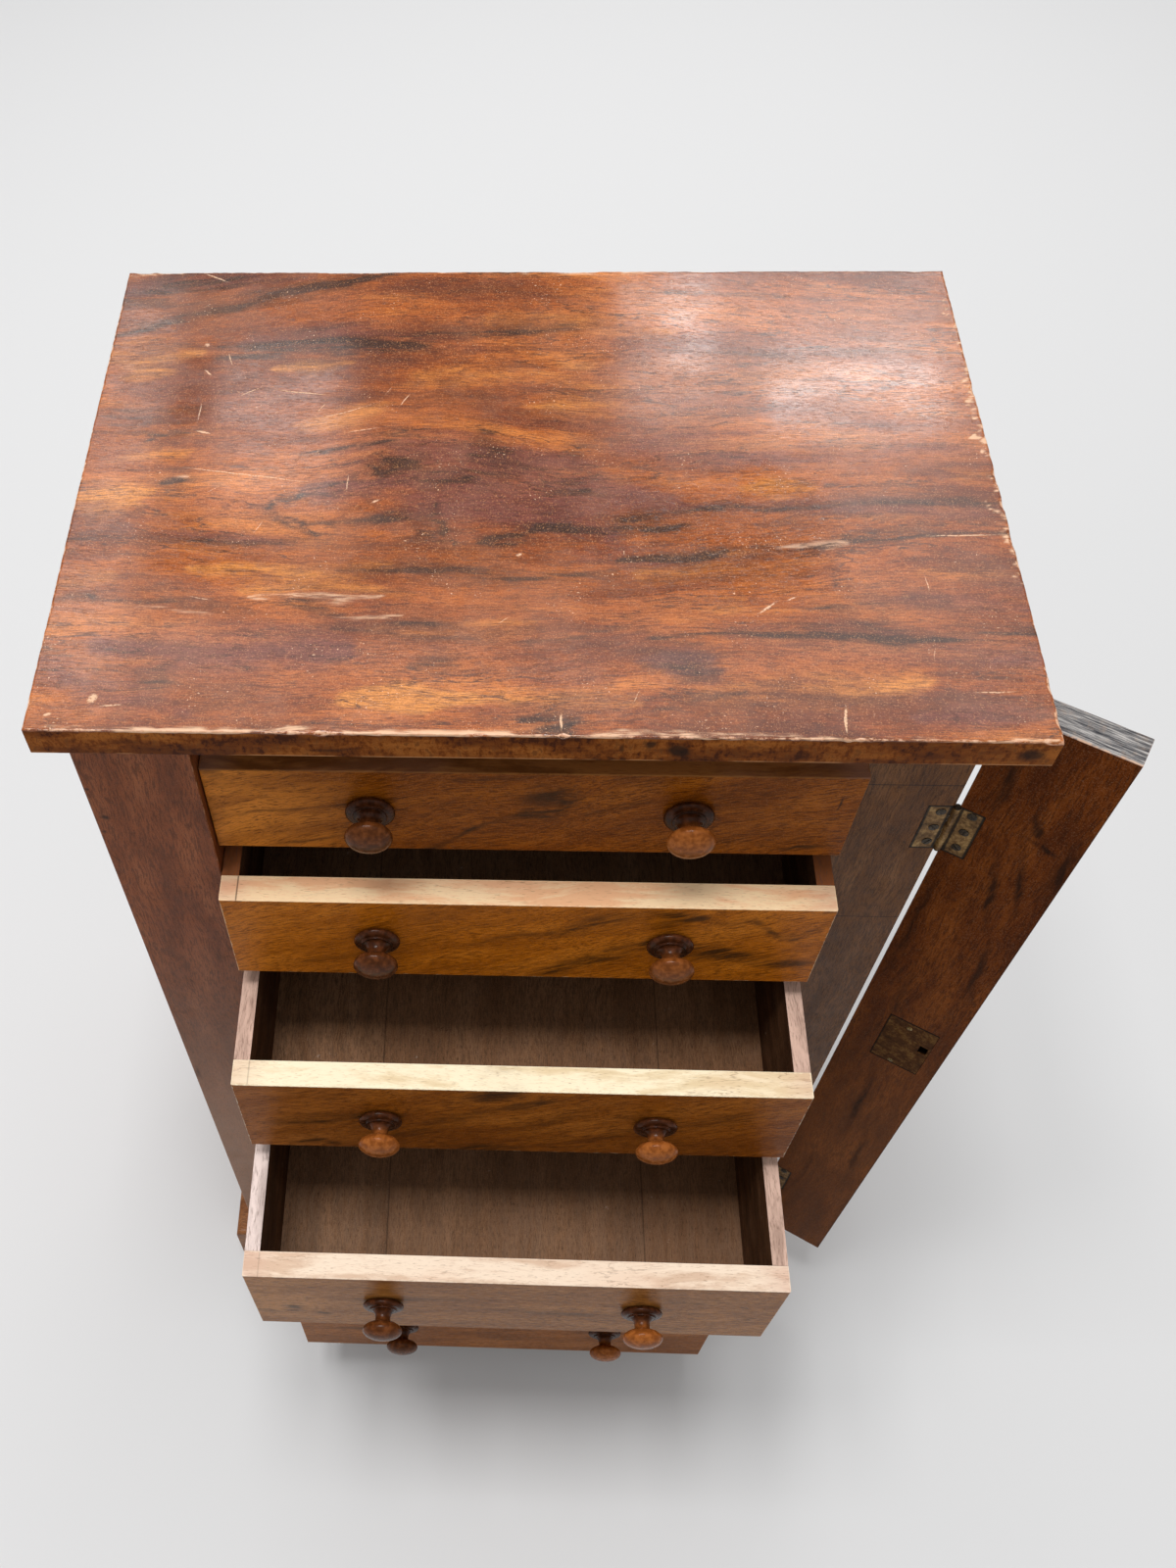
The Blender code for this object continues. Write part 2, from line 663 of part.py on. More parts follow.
def drawer_back(number, height, slide):
    """A drawer back, which stands over the bottom and takes the through tails of both sides."""
    half = DRAWER_WIDTH / 2
    name = f"drawer_{number}_back"
    front = DRAWER_LENGTH - DRAWER_BACK_THICKNESS
    low = (-half, front, DRAWER_BACK_FOOT)
    high = (half, DRAWER_LENGTH, height - DRAWER_SIDE_DROP)
    back = box(name, low, high, LINING, slide)
    middles, tip_width = back_tails(height)
    tip = DRAWER_LENGTH + OVERRUN
    wide = tip_width + 2 * OVERRUN * TAIL_SLOPE_SHARE
    sockets = socket_outlines(middles, wide, tip, front - OVERRUN)
    depth = DRAWER_SIDE_THICKNESS + FIT_GAP + OVERRUN
    for sign, place in ((-1, "left"), (1, "right")):
        across = sign * (half + OVERRUN - depth / 2)
        cut(back, flat_outline(f"{name}_sockets_{place}", sockets, depth, (across, 0.0, 0.0), UPRIGHT, None, slide))


def drawer_bottom(number, slide):
    """A drawer bottom, held in the grooves and slid in under the back."""
    reach = DRAWER_WIDTH / 2 - DRAWER_SIDE_THICKNESS + GROOVE_DEPTH - FIT_GAP
    foot = GROOVE_LIFT + FIT_GAP
    low = (-reach, DRAWER_FRONT_THICKNESS - GROOVE_DEPTH + FIT_GAP, foot)
    high = (reach, DRAWER_LENGTH - FIT_GAP, foot + DRAWER_BOTTOM_THICKNESS)
    box(f"drawer_{number}_bottom", low, high, LINING, slide)


def arc(centre, radii, start, end, steps):
    """Points (radius, height) along part of an ellipse, by an angle from the outward direction."""
    angles = [start + (end - start) * index / steps for index in range(steps + 1)]
    return [(centre[0] + radii[0] * cos(angle), centre[1] + radii[1] * sin(angle)) for angle in angles]


def knob_profile():
    """The knob from its tip to its spigot: flattened ball, waisted neck, ring, rolled rose, spigot."""
    neck_share = KNOB_NECK_RADIUS / KNOB_BALL_RADIUS
    ball_end = -pi / 2 + neck_share
    ball = arc((0.0, KNOB_BALL_CENTRE), (KNOB_BALL_RADIUS, KNOB_BALL_HALF_LENGTH), pi / 2, ball_end, 6)
    ball[0] = (0.0, KNOB_BALL_CENTRE + KNOB_BALL_HALF_LENGTH)
    cove_radius = KNOB_RING_RADIUS - KNOB_RING_LENGTH
    cove_radii = (cove_radius - KNOB_NECK_RADIUS, KNOB_NECK_START - KNOB_RING_FACE)
    neck = arc((cove_radius, KNOB_NECK_START), cove_radii, pi, 3 * pi / 2, 3)
    ring = [(KNOB_RING_RADIUS, KNOB_RING_FACE), (KNOB_RING_RADIUS, KNOB_RING_FACE - KNOB_RING_LENGTH)]
    roll_half = (KNOB_RING_FACE - KNOB_RING_LENGTH - FIT_GAP) / 2
    roll_centre = (KNOB_ROSE_RADIUS - KNOB_ROSE_ROLL, roll_half + FIT_GAP)
    rose = arc(roll_centre, (KNOB_ROSE_ROLL, roll_half), pi / 2, -pi / 2, 5)
    spigot = [
        (KNOB_SPIGOT_RADIUS, FIT_GAP),
        (KNOB_SPIGOT_RADIUS, -KNOB_SPIGOT_LENGTH),
        (0.0, -KNOB_SPIGOT_LENGTH),
    ]
    return ball + neck + ring + rose + spigot


def drawer_knobs(number, height, slide):
    """The two turned knobs of one drawer."""
    for sign, place in ((-1, "left"), (1, "right")):
        spot = (sign * KNOB_SPACING / 2, 0.0, height * KNOB_HEIGHT_SHARE)
        turned(f"drawer_{number}_knob_{place}", knob_profile(), KNOB_WOOD, spot, (pi / 2, 0.0, 0.0), slide)


def drawer(number):
    """One drawer, carried by an empty on its slide: the middle of its front's lower edge."""
    height = drawer_height(number)
    spot = (DRAWER_CENTRE, RECESS - drawer_opening(number), drawer_foot(number))
    slide = joint_empty(f"drawer_{number}_slide", spot)
    drawer_front(number, height, slide)
    drawer_side(number, height, slide, -1, "left")
    drawer_side(number, height, slide, 1, "right")
    drawer_back(number, height, slide)
    drawer_bottom(number, slide)
    drawer_knobs(number, height, slide)


def knuckle_heights(count_from):
    """The middles of every second knuckle, measured from the middle of the hinge."""
    pitch = HINGE_LENGTH / HINGE_KNUCKLES
    return [pitch * (index + 0.5) - HINGE_LENGTH / 2 for index in range(count_from, HINGE_KNUCKLES, 2)]


def hinge_leaf(name, height, own_first, other_first, plate_y, origin, parent):
    """One leaf: a plate that reaches the axis, its own knuckles, and clear room for the other leaf's."""
    x, y = origin
    low = (x - HINGE_LEAF_REACH, plate_y, height - HINGE_LENGTH / 2)
    high = (x, plate_y + HINGE_LEAF_THICKNESS, height + HINGE_LENGTH / 2)
    leaf = box(name, low, high, BRASS, parent)
    pitch = HINGE_LENGTH / HINGE_KNUCKLES
    for index, middle in enumerate(knuckle_heights(own_first)):
        centre = (x, y, height + middle)
        knuckle = cylinder(f"{name}_knuckle_{index}", HINGE_BARREL_RADIUS, pitch - FIT_GAP, centre, None, parent)
        fuse(leaf, knuckle)
    for index, middle in enumerate(knuckle_heights(other_first)):
        centre = (x, y, height + middle)
        radius = HINGE_BARREL_RADIUS + FIT_GAP
        room = cylinder(f"{name}_room_{index}", radius, pitch + FIT_GAP, centre, None, parent)
        cut(leaf, room)
    return leaf


def hinge(place, height, flap):
    """A five-knuckle butt hinge, let in flush: its pin belongs to the leaf on the stile."""
    fixed_name = f"hinge_{place}_fixed_leaf"
    fixed = hinge_leaf(fixed_name, height, 0, 1, RECESS, (HINGE_X, HINGE_Y), None)
    pin_length = HINGE_LENGTH - FIT_GAP
    pin = cylinder(f"{fixed_name}_pin", HINGE_PIN_RADIUS, pin_length, (HINGE_X, HINGE_Y, height))
    fuse(fixed, pin)
    moving_name = f"hinge_{place}_moving_leaf"
    plate_y = FLAP_INNER_FACE - HINGE_LEAF_THICKNESS
    moving = hinge_leaf(moving_name, height, 1, 0, plate_y, (0.0, 0.0), flap)
    bore_radius = HINGE_PIN_RADIUS + FIT_GAP
    bore = cylinder(f"{moving_name}_bore", bore_radius, HINGE_LENGTH + OVERRUN, (0.0, 0.0, height), None, flap)
    cut(moving, bore)


def keyhole_cutters(flap):
    """A round keyhole with its slot, from outside the flap into the lock."""
    back = FLAP_INNER_FACE - LOCK_DEPTH + KEYHOLE_DEPTH_IN_LOCK
    front = FLAP_OUTER_FACE - OVERRUN
    spot = -LOCK_FROM_AXIS - LOCK_WIDTH / 2
    centre = (spot, (back + front) / 2, LOCK_CENTRE_HEIGHT)
    eye = cylinder("keyhole_eye", KEYHOLE_RADIUS, back - front, centre, None, flap, True)
    slot_low = (spot - KEYHOLE_SLOT_WIDTH / 2, front, LOCK_CENTRE_HEIGHT - KEYHOLE_SLOT_LENGTH)
    slot_high = (spot + KEYHOLE_SLOT_WIDTH / 2, back, LOCK_CENTRE_HEIGHT)
    return eye, box("keyhole_slot", slot_low, slot_high, None, flap)


def lock_case(flap, keyhole):
    """The lock, let into the flap's inner face, with the port that takes the staple."""
    foot = LOCK_CENTRE_HEIGHT - LOCK_HEIGHT / 2
    low = (-LOCK_FROM_AXIS - LOCK_WIDTH, FLAP_INNER_FACE - LOCK_DEPTH, foot)
    high = (-LOCK_FROM_AXIS, FLAP_INNER_FACE, foot + LOCK_HEIGHT)
    lock = box("lock_case", low, high, BRASS, flap)
    port_middle = LOCK_CENTRE_HEIGHT + PORT_LIFT
    port_low = (-PORT_FROM_AXIS - PORT_WIDTH / 2, FLAP_INNER_FACE - PORT_DEPTH, port_middle - PORT_HEIGHT / 2)
    port_high = (-PORT_FROM_AXIS + PORT_WIDTH / 2, FLAP_INNER_FACE + OVERRUN, port_middle + PORT_HEIGHT / 2)
    cut(lock, box("lock_port", port_low, port_high, None, flap), *keyhole)


def flap_board(flap, keyhole):
    """The locking flap, with its hinge gains, the mortise for the lock and the keyhole."""
    low = (-FLAP_HINGE_GAP - FLAP_WIDTH, FLAP_OUTER_FACE, FLAP_FOOT)
    high = (-FLAP_HINGE_GAP, FLAP_INNER_FACE, FLAP_HEAD)
    board = box("flap_board", low, high, WALNUT, flap)
    soften(board, FLAP_ARRIS, 2, lambda start, end: max(start.y, end.y) < 0.0)
    for place, height in (("upper", UPPER_HINGE_HEIGHT), ("lower", LOWER_HINGE_HEIGHT)):
        half = HINGE_LENGTH / 2 + FIT_GAP
        gain_low = (
            -HINGE_LEAF_REACH - FIT_GAP,
            FLAP_INNER_FACE - HINGE_LEAF_THICKNESS - FIT_GAP,
            height - half,
        )
        gain_high = (OVERRUN, FLAP_INNER_FACE + OVERRUN, height + half)
        cut(board, box(f"flap_gain_{place}", gain_low, gain_high, None, flap))
        cut(board, barrel_groove(f"flap_groove_{place}", (0.0, 0.0, height), flap))
    foot = LOCK_CENTRE_HEIGHT - LOCK_HEIGHT / 2 - FIT_GAP
    mortise_low = (
        -LOCK_FROM_AXIS - LOCK_WIDTH - FIT_GAP,
        FLAP_INNER_FACE - LOCK_DEPTH - FIT_GAP,
        foot,
    )
    mortise_high = (-LOCK_FROM_AXIS + FIT_GAP, FLAP_INNER_FACE + OVERRUN, foot + LOCK_HEIGHT + 2 * FIT_GAP)
    cut(board, box("lock_mortise", mortise_low, mortise_high, None, flap), *keyhole)


def locking_flap():
    """The flap and all that turns with it, carried by an empty on the hinge axis."""
    flap = joint_empty("flap_hinge_axis", (HINGE_X, HINGE_Y, 0.0), FLAP_OPEN_ANGLE)
    keyhole = keyhole_cutters(flap)
    flap_board(flap, keyhole)
    lock_case(flap, keyhole)
    hinge("upper", UPPER_HINGE_HEIGHT, flap)
    hinge("lower", LOWER_HINGE_HEIGHT, flap)


def build():
    """The whole chest, from the plinth up."""
    plinth_frame()
    bottom_board()
    case_sides()
    back_panel()
    frieze_rail()
    for number in range(1, DRAWER_COUNT):
        dust_board(number)
    top_board()
    for number in range(1, DRAWER_COUNT + 1):
        drawer(number)
    locking_flap()


build()
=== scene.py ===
"""The looks of a wellington chest: figured walnut, turned knobs, worn arrises, hinges, screws and light.

Everything is in metres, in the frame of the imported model: X to the right, Y to the back, Z up.
"""

import json
from math import cos, pi, radians, sin

import bpy
import numpy as np
from mathutils import Matrix, Vector


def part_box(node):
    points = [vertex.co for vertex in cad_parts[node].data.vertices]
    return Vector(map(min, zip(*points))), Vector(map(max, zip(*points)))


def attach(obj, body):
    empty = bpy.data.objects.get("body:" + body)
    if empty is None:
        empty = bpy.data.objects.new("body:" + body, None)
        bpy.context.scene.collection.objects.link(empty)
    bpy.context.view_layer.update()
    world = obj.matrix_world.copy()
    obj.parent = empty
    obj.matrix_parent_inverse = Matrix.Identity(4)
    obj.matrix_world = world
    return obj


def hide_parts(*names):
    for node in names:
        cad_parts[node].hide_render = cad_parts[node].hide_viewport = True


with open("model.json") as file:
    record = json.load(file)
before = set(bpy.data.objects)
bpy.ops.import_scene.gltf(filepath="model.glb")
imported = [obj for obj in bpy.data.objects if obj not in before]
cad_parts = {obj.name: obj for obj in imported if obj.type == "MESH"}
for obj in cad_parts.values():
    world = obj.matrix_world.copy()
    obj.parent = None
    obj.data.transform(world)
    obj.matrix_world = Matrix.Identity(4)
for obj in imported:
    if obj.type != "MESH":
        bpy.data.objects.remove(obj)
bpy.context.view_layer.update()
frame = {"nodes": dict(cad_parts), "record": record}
NODES = frame["nodes"]
BODY_OF = {node: body for body, nodes in frame["record"]["behaviour"]["bodies"].items() for node in nodes}

# Camera: its place, its turns, and the focal length and picture centre in pixels of a 1200 by 1600 picture
CAMERA_PLACE = (-0.0273, -0.5176, 1.6858)
CAMERA_YAW = 0.08338
CAMERA_PITCH = -0.99846
CAMERA_ROLL = -0.05413
PICTURE_WIDTH_PIXELS = 1200
PICTURE_HEIGHT_PIXELS = 1600
FOCAL_PIXELS = 1449.974
CENTRE_X_PIXEL = 425.891
CENTRE_Y_PIXEL = 869.497
SENSOR_WIDTH_MM = 36.0


def photo_camera():
    """The camera at the photograph's place: yaw about Z, then pitch, then roll about the line of sight."""
    ahead = Vector((-sin(CAMERA_YAW), cos(CAMERA_YAW), 0.0))
    side = Vector((cos(CAMERA_YAW), sin(CAMERA_YAW), 0.0))
    up = Vector((0.0, 0.0, 1.0))
    sight = ahead * cos(CAMERA_PITCH) + up * sin(CAMERA_PITCH)
    level_up = up * cos(CAMERA_PITCH) - ahead * sin(CAMERA_PITCH)
    right = side * cos(CAMERA_ROLL) + level_up * sin(CAMERA_ROLL)
    camera_up = level_up * cos(CAMERA_ROLL) - side * sin(CAMERA_ROLL)
    data = bpy.data.cameras.new("photo_camera")
    data.sensor_fit = "HORIZONTAL"
    data.sensor_width = SENSOR_WIDTH_MM
    data.lens = SENSOR_WIDTH_MM * FOCAL_PIXELS / PICTURE_WIDTH_PIXELS
    data.shift_x = (PICTURE_WIDTH_PIXELS / 2 - CENTRE_X_PIXEL) / PICTURE_WIDTH_PIXELS
    data.shift_y = (CENTRE_Y_PIXEL - PICTURE_HEIGHT_PIXELS / 2) / PICTURE_WIDTH_PIXELS
    camera = bpy.data.objects.new("photo_camera", data)
    bpy.context.scene.collection.objects.link(camera)
    turn = Matrix((right, camera_up, -sight)).transposed().to_4x4()
    camera.matrix_world = Matrix.Translation(CAMERA_PLACE) @ turn
    bpy.context.scene.camera = camera


COAT_ROUGHNESS = 0.06
ZEROS = (0.0, 0.0, 0.0)
ONES = (1.0, 1.0, 1.0)


class Finish:
    """One material. Each method adds a node and gives back the socket that comes out of it."""

    def __init__(self, name):
        self.material = bpy.data.materials.new(name)
        self.material.use_nodes = True
        self.nodes = self.material.node_tree.nodes
        self.shader = self.nodes["Principled BSDF"]

    def plug(self, value, socket):
        """Links a socket, or sets a plain value."""
        if isinstance(value, bpy.types.NodeSocket):
            self.material.node_tree.links.new(value, socket)
        else:
            socket.default_value = value

    def node(self, kind, inputs, **settings):
        """A node of one kind with its settings and inputs."""
        made = self.nodes.new(kind)
        for key, value in settings.items():
            setattr(made, key, value)
        for key, value in inputs.items():
            self.plug(value, made.inputs[key])
        return made

    def place(self):
        """Object coordinates, which are places on the chest at rest."""
        return self.node("ShaderNodeTexCoord", {}).outputs["Object"]

    def chart(self):
        """The piece's own UV map."""
        return self.node("ShaderNodeTexCoord", {}).outputs["UV"]

    def attribute(self, name):
        """A number that the piece's mesh carries."""
        return self.node("ShaderNodeAttribute", {}, attribute_name=name).outputs["Fac"]

    def carried_vector(self, name):
        """A vector that the piece's mesh carries."""
        return self.node("ShaderNodeAttribute", {}, attribute_name=name).outputs["Vector"]

    def part(self, vector, axis):
        """One of a vector's three parts."""
        return self.node("ShaderNodeSeparateXYZ", {0: vector}).outputs[axis]

    def mapped(self, vector, centre=ZEROS, turn=ZEROS, size=ONES):
        """The vector seen from a centre, turned back by the turn and divided by the size."""
        inputs = {"Vector": vector, "Location": centre, "Rotation": turn, "Scale": size}
        return self.node("ShaderNodeMapping", inputs, vector_type="TEXTURE").outputs[0]

    def drawn(self, vector, along, ratio):
        """The vector divided by a ratio along one axis, which draws a pattern out along it."""
        return self.mapped(vector, size=tuple(ratio if axis == along else 1.0 for axis in range(3)))

    def noise(self, vector, scale, detail, roughness):
        """Soft noise about one half."""
        inputs = {"Vector": vector, "Scale": scale, "Detail": detail, "Roughness": roughness}
        return self.node("ShaderNodeTexNoise", inputs).outputs["Fac"]

    def math(self, operation, first, second=0.0):
        """Plain arithmetic."""
        return self.node("ShaderNodeMath", {0: first, 1: second}, operation=operation).outputs[0]

    def times(self, first, second):
        """The product of two numbers."""
        return self.math("MULTIPLY", first, second)

    def plus(self, first, second):
        """The sum of two numbers."""
        return self.math("ADD", first, second)

    def apart(self, first, second):
        """How far two numbers lie apart."""
        return self.math("ABSOLUTE", self.math("SUBTRACT", first, second))

    def blended(self, first, second, share):
        """A share of the first number and the rest of the second."""
        return self.plus(self.times(first, share), self.times(second, 1 - share))

    def vector_math(self, operation, first, second=ZEROS):
        """Arithmetic of vectors."""
        return self.node("ShaderNodeVectorMath", {0: first, 1: second}, operation=operation).outputs[0]

    def length(self, vector):
        """The length of a vector."""
        return self.node("ShaderNodeVectorMath", {0: vector}, operation="LENGTH").outputs["Value"]

    def warped(self, vector, scale, amount, detail=1.0):
        """The vector moved about by soft noise, by up to half the amount each way."""
        inputs = {"Vector": vector, "Scale": scale, "Detail": detail}
        noises = self.node("ShaderNodeTexNoise", inputs).outputs["Color"]
        wave = self.vector_math("SUBTRACT", noises, (0.5, 0.5, 0.5))
        return self.vector_math("ADD", vector, self.vector_math("MULTIPLY", wave, amount))

    def span(self, value, low, high, first=0.0, last=1.0):
        """Goes smoothly from first to last as the value goes from low to high."""
        inputs = {"Value": value, "From Min": low, "From Max": high, "To Min": first, "To Max": last}
        return self.node("ShaderNodeMapRange", inputs, interpolation_type="SMOOTHSTEP").outputs[0]

    def mix(self, share, first, second):
        """A blend of two colours."""
        made = self.node("ShaderNodeMix", {}, data_type="RGBA")
        for index, value in ((0, share), (6, first), (7, second)):
            if isinstance(value, tuple):
                value = (*value, 1.0)
            self.plug(value, made.inputs[index])
        return made.outputs[2]

    def layers(self, colour, *coats):
        """Colours laid over a first one, in turn.

        A coat is (new colour, share), or (new colour, value, low, high, most), where the share goes
        smoothly from nothing to the most as the value goes from low to high.
        """
        for new, share, *reach in coats:
            if reach:
                low, high, most = reach
                share = self.span(share, low, high, 0.0, most)
            colour = self.mix(share, colour, new)
        return colour

    def ramp(self, value, places, colours):
        """Colours at places along a value."""
        made = self.node("ShaderNodeValToRGB", {0: value})
        ramp = made.color_ramp
        while len(ramp.elements) < len(places):
            ramp.elements.new(1.0)
        for element, place, colour in zip(ramp.elements, places, colours):
            element.position = place
            element.color = (*colour, 1.0)
        return made.outputs["Color"]

    def bump(self, height, distance, strength=0.6):
        """Fine relief."""
        inputs = {"Height": height, "Distance": distance, "Strength": strength}
        return self.node("ShaderNodeBump", inputs).outputs[0]

    def done(self, colour, roughness, normal=None, specular=0.5, metallic=0.0, coat=0.0):
        """Puts colour, roughness and relief on the shader, and plain values on its other sockets."""
        self.plug(colour, self.shader.inputs["Base Color"])
        self.plug(roughness, self.shader.inputs["Roughness"])
        if normal is not None:
            self.plug(normal, self.shader.inputs["Normal"])
        self.shader.inputs["Specular IOR Level"].default_value = specular
        self.shader.inputs["Metallic"].default_value = metallic
        self.shader.inputs["Coat Weight"].default_value = coat
        self.shader.inputs["Coat Roughness"].default_value = COAT_ROUGHNESS
        return self.material


def mesh_object(name, points, faces):
    """A mesh object at the origin from arrays of points and faces."""
    mesh = bpy.data.meshes.new(name)
    mesh.from_pydata(points.reshape(-1, 3).tolist(), [], faces)
    mesh.update()
    made = bpy.data.objects.new(name, mesh)
    bpy.context.scene.collection.objects.link(made)
    return made


def ring_faces(rows, columns, start=0):
    """Four-sided faces of a grid whose columns close into rings."""
    row = np.arange(rows - 1)[:, None] * columns
    column = np.arange(columns)[None, :]
    after = (column + 1) % columns
    faces = np.stack([row + column, row + after, row + columns + after, row + columns + column], axis=-1)
    return (faces.reshape(-1, 4) + start).tolist()


photo_camera()

# Stage
FLOOR_SIZE = 14.0
FLOOR_SEEN_NEAR = (0.735, 0.735, 0.738)
FLOOR_SEEN_FAR = (0.83, 0.83, 0.833)
FLOOR_BOUNCE = (0.50, 0.50, 0.505)
FLOOR_ROUGHNESS = 0.9
# Where the floor starts and ends to lighten, in metres from its middle
FLOOR_FADE = (0.9, 3.4)


def floor():
    """A pale grey floor, a little lighter far off, and darker in the light that it throws back."""
    finish = Finish("pale_floor")
    path = finish.node("ShaderNodeLightPath", {})
    far_off = finish.span(finish.length(finish.place()), *FLOOR_FADE)
    seen = finish.math("MAXIMUM", path.outputs["Is Camera Ray"], path.outputs["Is Glossy Ray"])
    seen = finish.math("MAXIMUM", seen, path.outputs["Is Transmission Ray"])
    colour = finish.mix(seen, FLOOR_BOUNCE, finish.mix(far_off, FLOOR_SEEN_NEAR, FLOOR_SEEN_FAR))
    material = finish.done(colour, FLOOR_ROUGHNESS, specular=0.0)
    half = FLOOR_SIZE / 2
    points = np.array([(-half, -half, 0.0), (half, -half, 0.0), (half, half, 0.0), (-half, half, 0.0)])
    made = mesh_object("floor", points, [(0, 1, 2, 3)])
    made.data.materials.append(material)


def softbox(name, place, size, glow):
    """A rectangular area light that looks straight down."""
    data = bpy.data.lights.new(name, "AREA")
    data.shape = "RECTANGLE"
    data.size, data.size_y = size
    data.energy = pi * size[0] * size[1] * glow
    made = bpy.data.objects.new(name, data)
    bpy.context.scene.collection.objects.link(made)
    made.location = place


# Panes that the top mirrors: (centre across, centre deep, width, depth, glow)
PANE_HEIGHT = 3.0
PANES = (
    (0.97, 2.70, 0.46, 0.28, 10.4),
    (0.54, 3.00, 0.12, 0.46, 9.0),
    (0.84, 2.92, 1.00, 0.84, 3.6),
    (-0.60, 2.54, 0.36, 0.66, 3.9),
    (-1.04, 2.35, 0.24, 1.60, 3.0),
    (0.05, 1.66, 2.60, 0.40, 1.8),
    (1.08, 2.15, 0.50, 0.60, 1.8),
)
# The lights overhead: (name, place, size, glow)
OVERHEAD = (
    ("overhead_left", (-1.30, -0.20, 4.6), (0.50, 0.95), 24.8),
    ("overhead_middle", (-0.60, -0.16, 4.6), (0.50, 0.95), 24.8),
    ("overhead_right", (0.10, -0.20, 4.6), (0.50, 0.95), 24.8),
    ("ceiling", (0.0, -1.0, 4.6), (7.0, 7.0), 0.45),
)
DOME_GLOW = 0.36


def lights():
    """A dim dome, a softbox and a pale ceiling overhead, and panes whose glow lies on the top.

    A lamp of width w, depth d and glow g gives pi * w * d * g watts.
    """
    world = bpy.data.worlds.new("studio")
    world.use_nodes = True
    world.node_tree.nodes["Background"].inputs["Color"].default_value = (1.0, 1.0, 1.0, 1.0)
    world.node_tree.nodes["Background"].inputs["Strength"].default_value = DOME_GLOW
    bpy.context.scene.world = world
    for name, place, size, glow in OVERHEAD:
        softbox(name, place, size, glow)
    for number, (across, deep, width, depth, glow) in enumerate(PANES, 1):
        softbox(f"pane_{number}", (across, deep, PANE_HEIGHT), (width, depth), glow)
    bpy.context.scene.view_settings.view_transform = "Standard"


floor()
lights()

# Finishes
X_AXIS, Y_AXIS, Z_AXIS = 0, 1, 2
TOP_LOW, TOP_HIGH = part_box("top_board")
TOP_SIZE = tuple(TOP_HIGH - TOP_LOW)
BLACK = (0.0, 0.0, 0.0)
# Tables give shares of a face in thousandths, and lengths in tenths of a millimetre
THOUSAND = 1000
TENTHS_IN_METRE = 10000
DARKEST_STREAK = 0.88


def tone(red, green, blue):
    """A colour given as 0 to 255 in each channel, as light.

    The screen's curve is undone: share / 12.92 up to 0.04045, above it ((share + 0.055) / 1.055)^2.4.
    """
    shares = np.array((red, green, blue)) / 255
    return tuple(np.where(shares <= 0.04045, shares / 12.92, ((shares + 0.055) / 1.055) ** 2.4).tolist())


def tones(*colours):
    """Several colours given as 0 to 255 in each channel, as light."""
    return tuple(tone(*colour) for colour in colours)


# Near-black painted shade for the gaps round the hinge leaves and the lock
PAINTED_GAP_SHADE = tone(18, 13, 9)
BARK_BROWN = tone(40, 26, 20)


def marks(finish, vector, features, corner, size, across, spread=1.0):
    """The sum of soft oval marks on a face, each a (right, up, half length, half width, turn, strength).

    Right and up are thousandths of the face's size, the halves are tenths of a millimetre, and turns are
    degrees up from its right. The spread widens them all.
    """
    total = None
    for right, up, half_length, half_width, turn, strength in features:
        centre = list(corner)
        centre[X_AXIS] += right / THOUSAND * size[X_AXIS]
        centre[across] += up / THOUSAND * size[across]
        angle = radians(turn)
        turned = (0.0, -angle, 0.0) if across == Z_AXIS else (0.0, 0.0, angle)
        wide = half_width / TENTHS_IN_METRE * spread
        reach = [half_length / TENTHS_IN_METRE, wide, wide]
        reach[Y_AXIS + Z_AXIS - across] = 1.0
        away = finish.length(finish.mapped(vector, tuple(centre), turned, tuple(reach)))
        mark = finish.span(away, 1.0, 0.1, 0.0, strength)
        total = mark if total is None else finish.plus(total, mark)
    return total


def edge_distance(finish, vector, low, high):
    """How far a point of a box's skin lies from the box's nearest edge.

    Each part of the vector gives a distance to one pair of faces, and the middle one of the three is
    the distance to the edge.
    """
    middle = tuple((Vector(low) + Vector(high)) / 2)
    half = tuple((Vector(high) - Vector(low)) / 2)
    from_middle = finish.vector_math("ABSOLUTE", finish.vector_math("SUBTRACT", vector, middle))
    inward = finish.vector_math("SUBTRACT", half, from_middle)
    across, deep, tall = (finish.part(inward, axis) for axis in range(3))
    least = finish.math("MINIMUM", across, deep)
    most = finish.math("MAXIMUM", across, deep)
    return finish.math("MAXIMUM", least, finish.math("MINIMUM", most, tall))


def worn_arris(finish, vector, low, high, ragged, reach):
    """How bare a box's arrises are: the ragged noise sets how far the wear reaches in, in metres."""
    away = edge_distance(finish, vector, low, high)
    return finish.span(finish.math("DIVIDE", away, finish.span(ragged, *reach)), 1.0, 0.4)


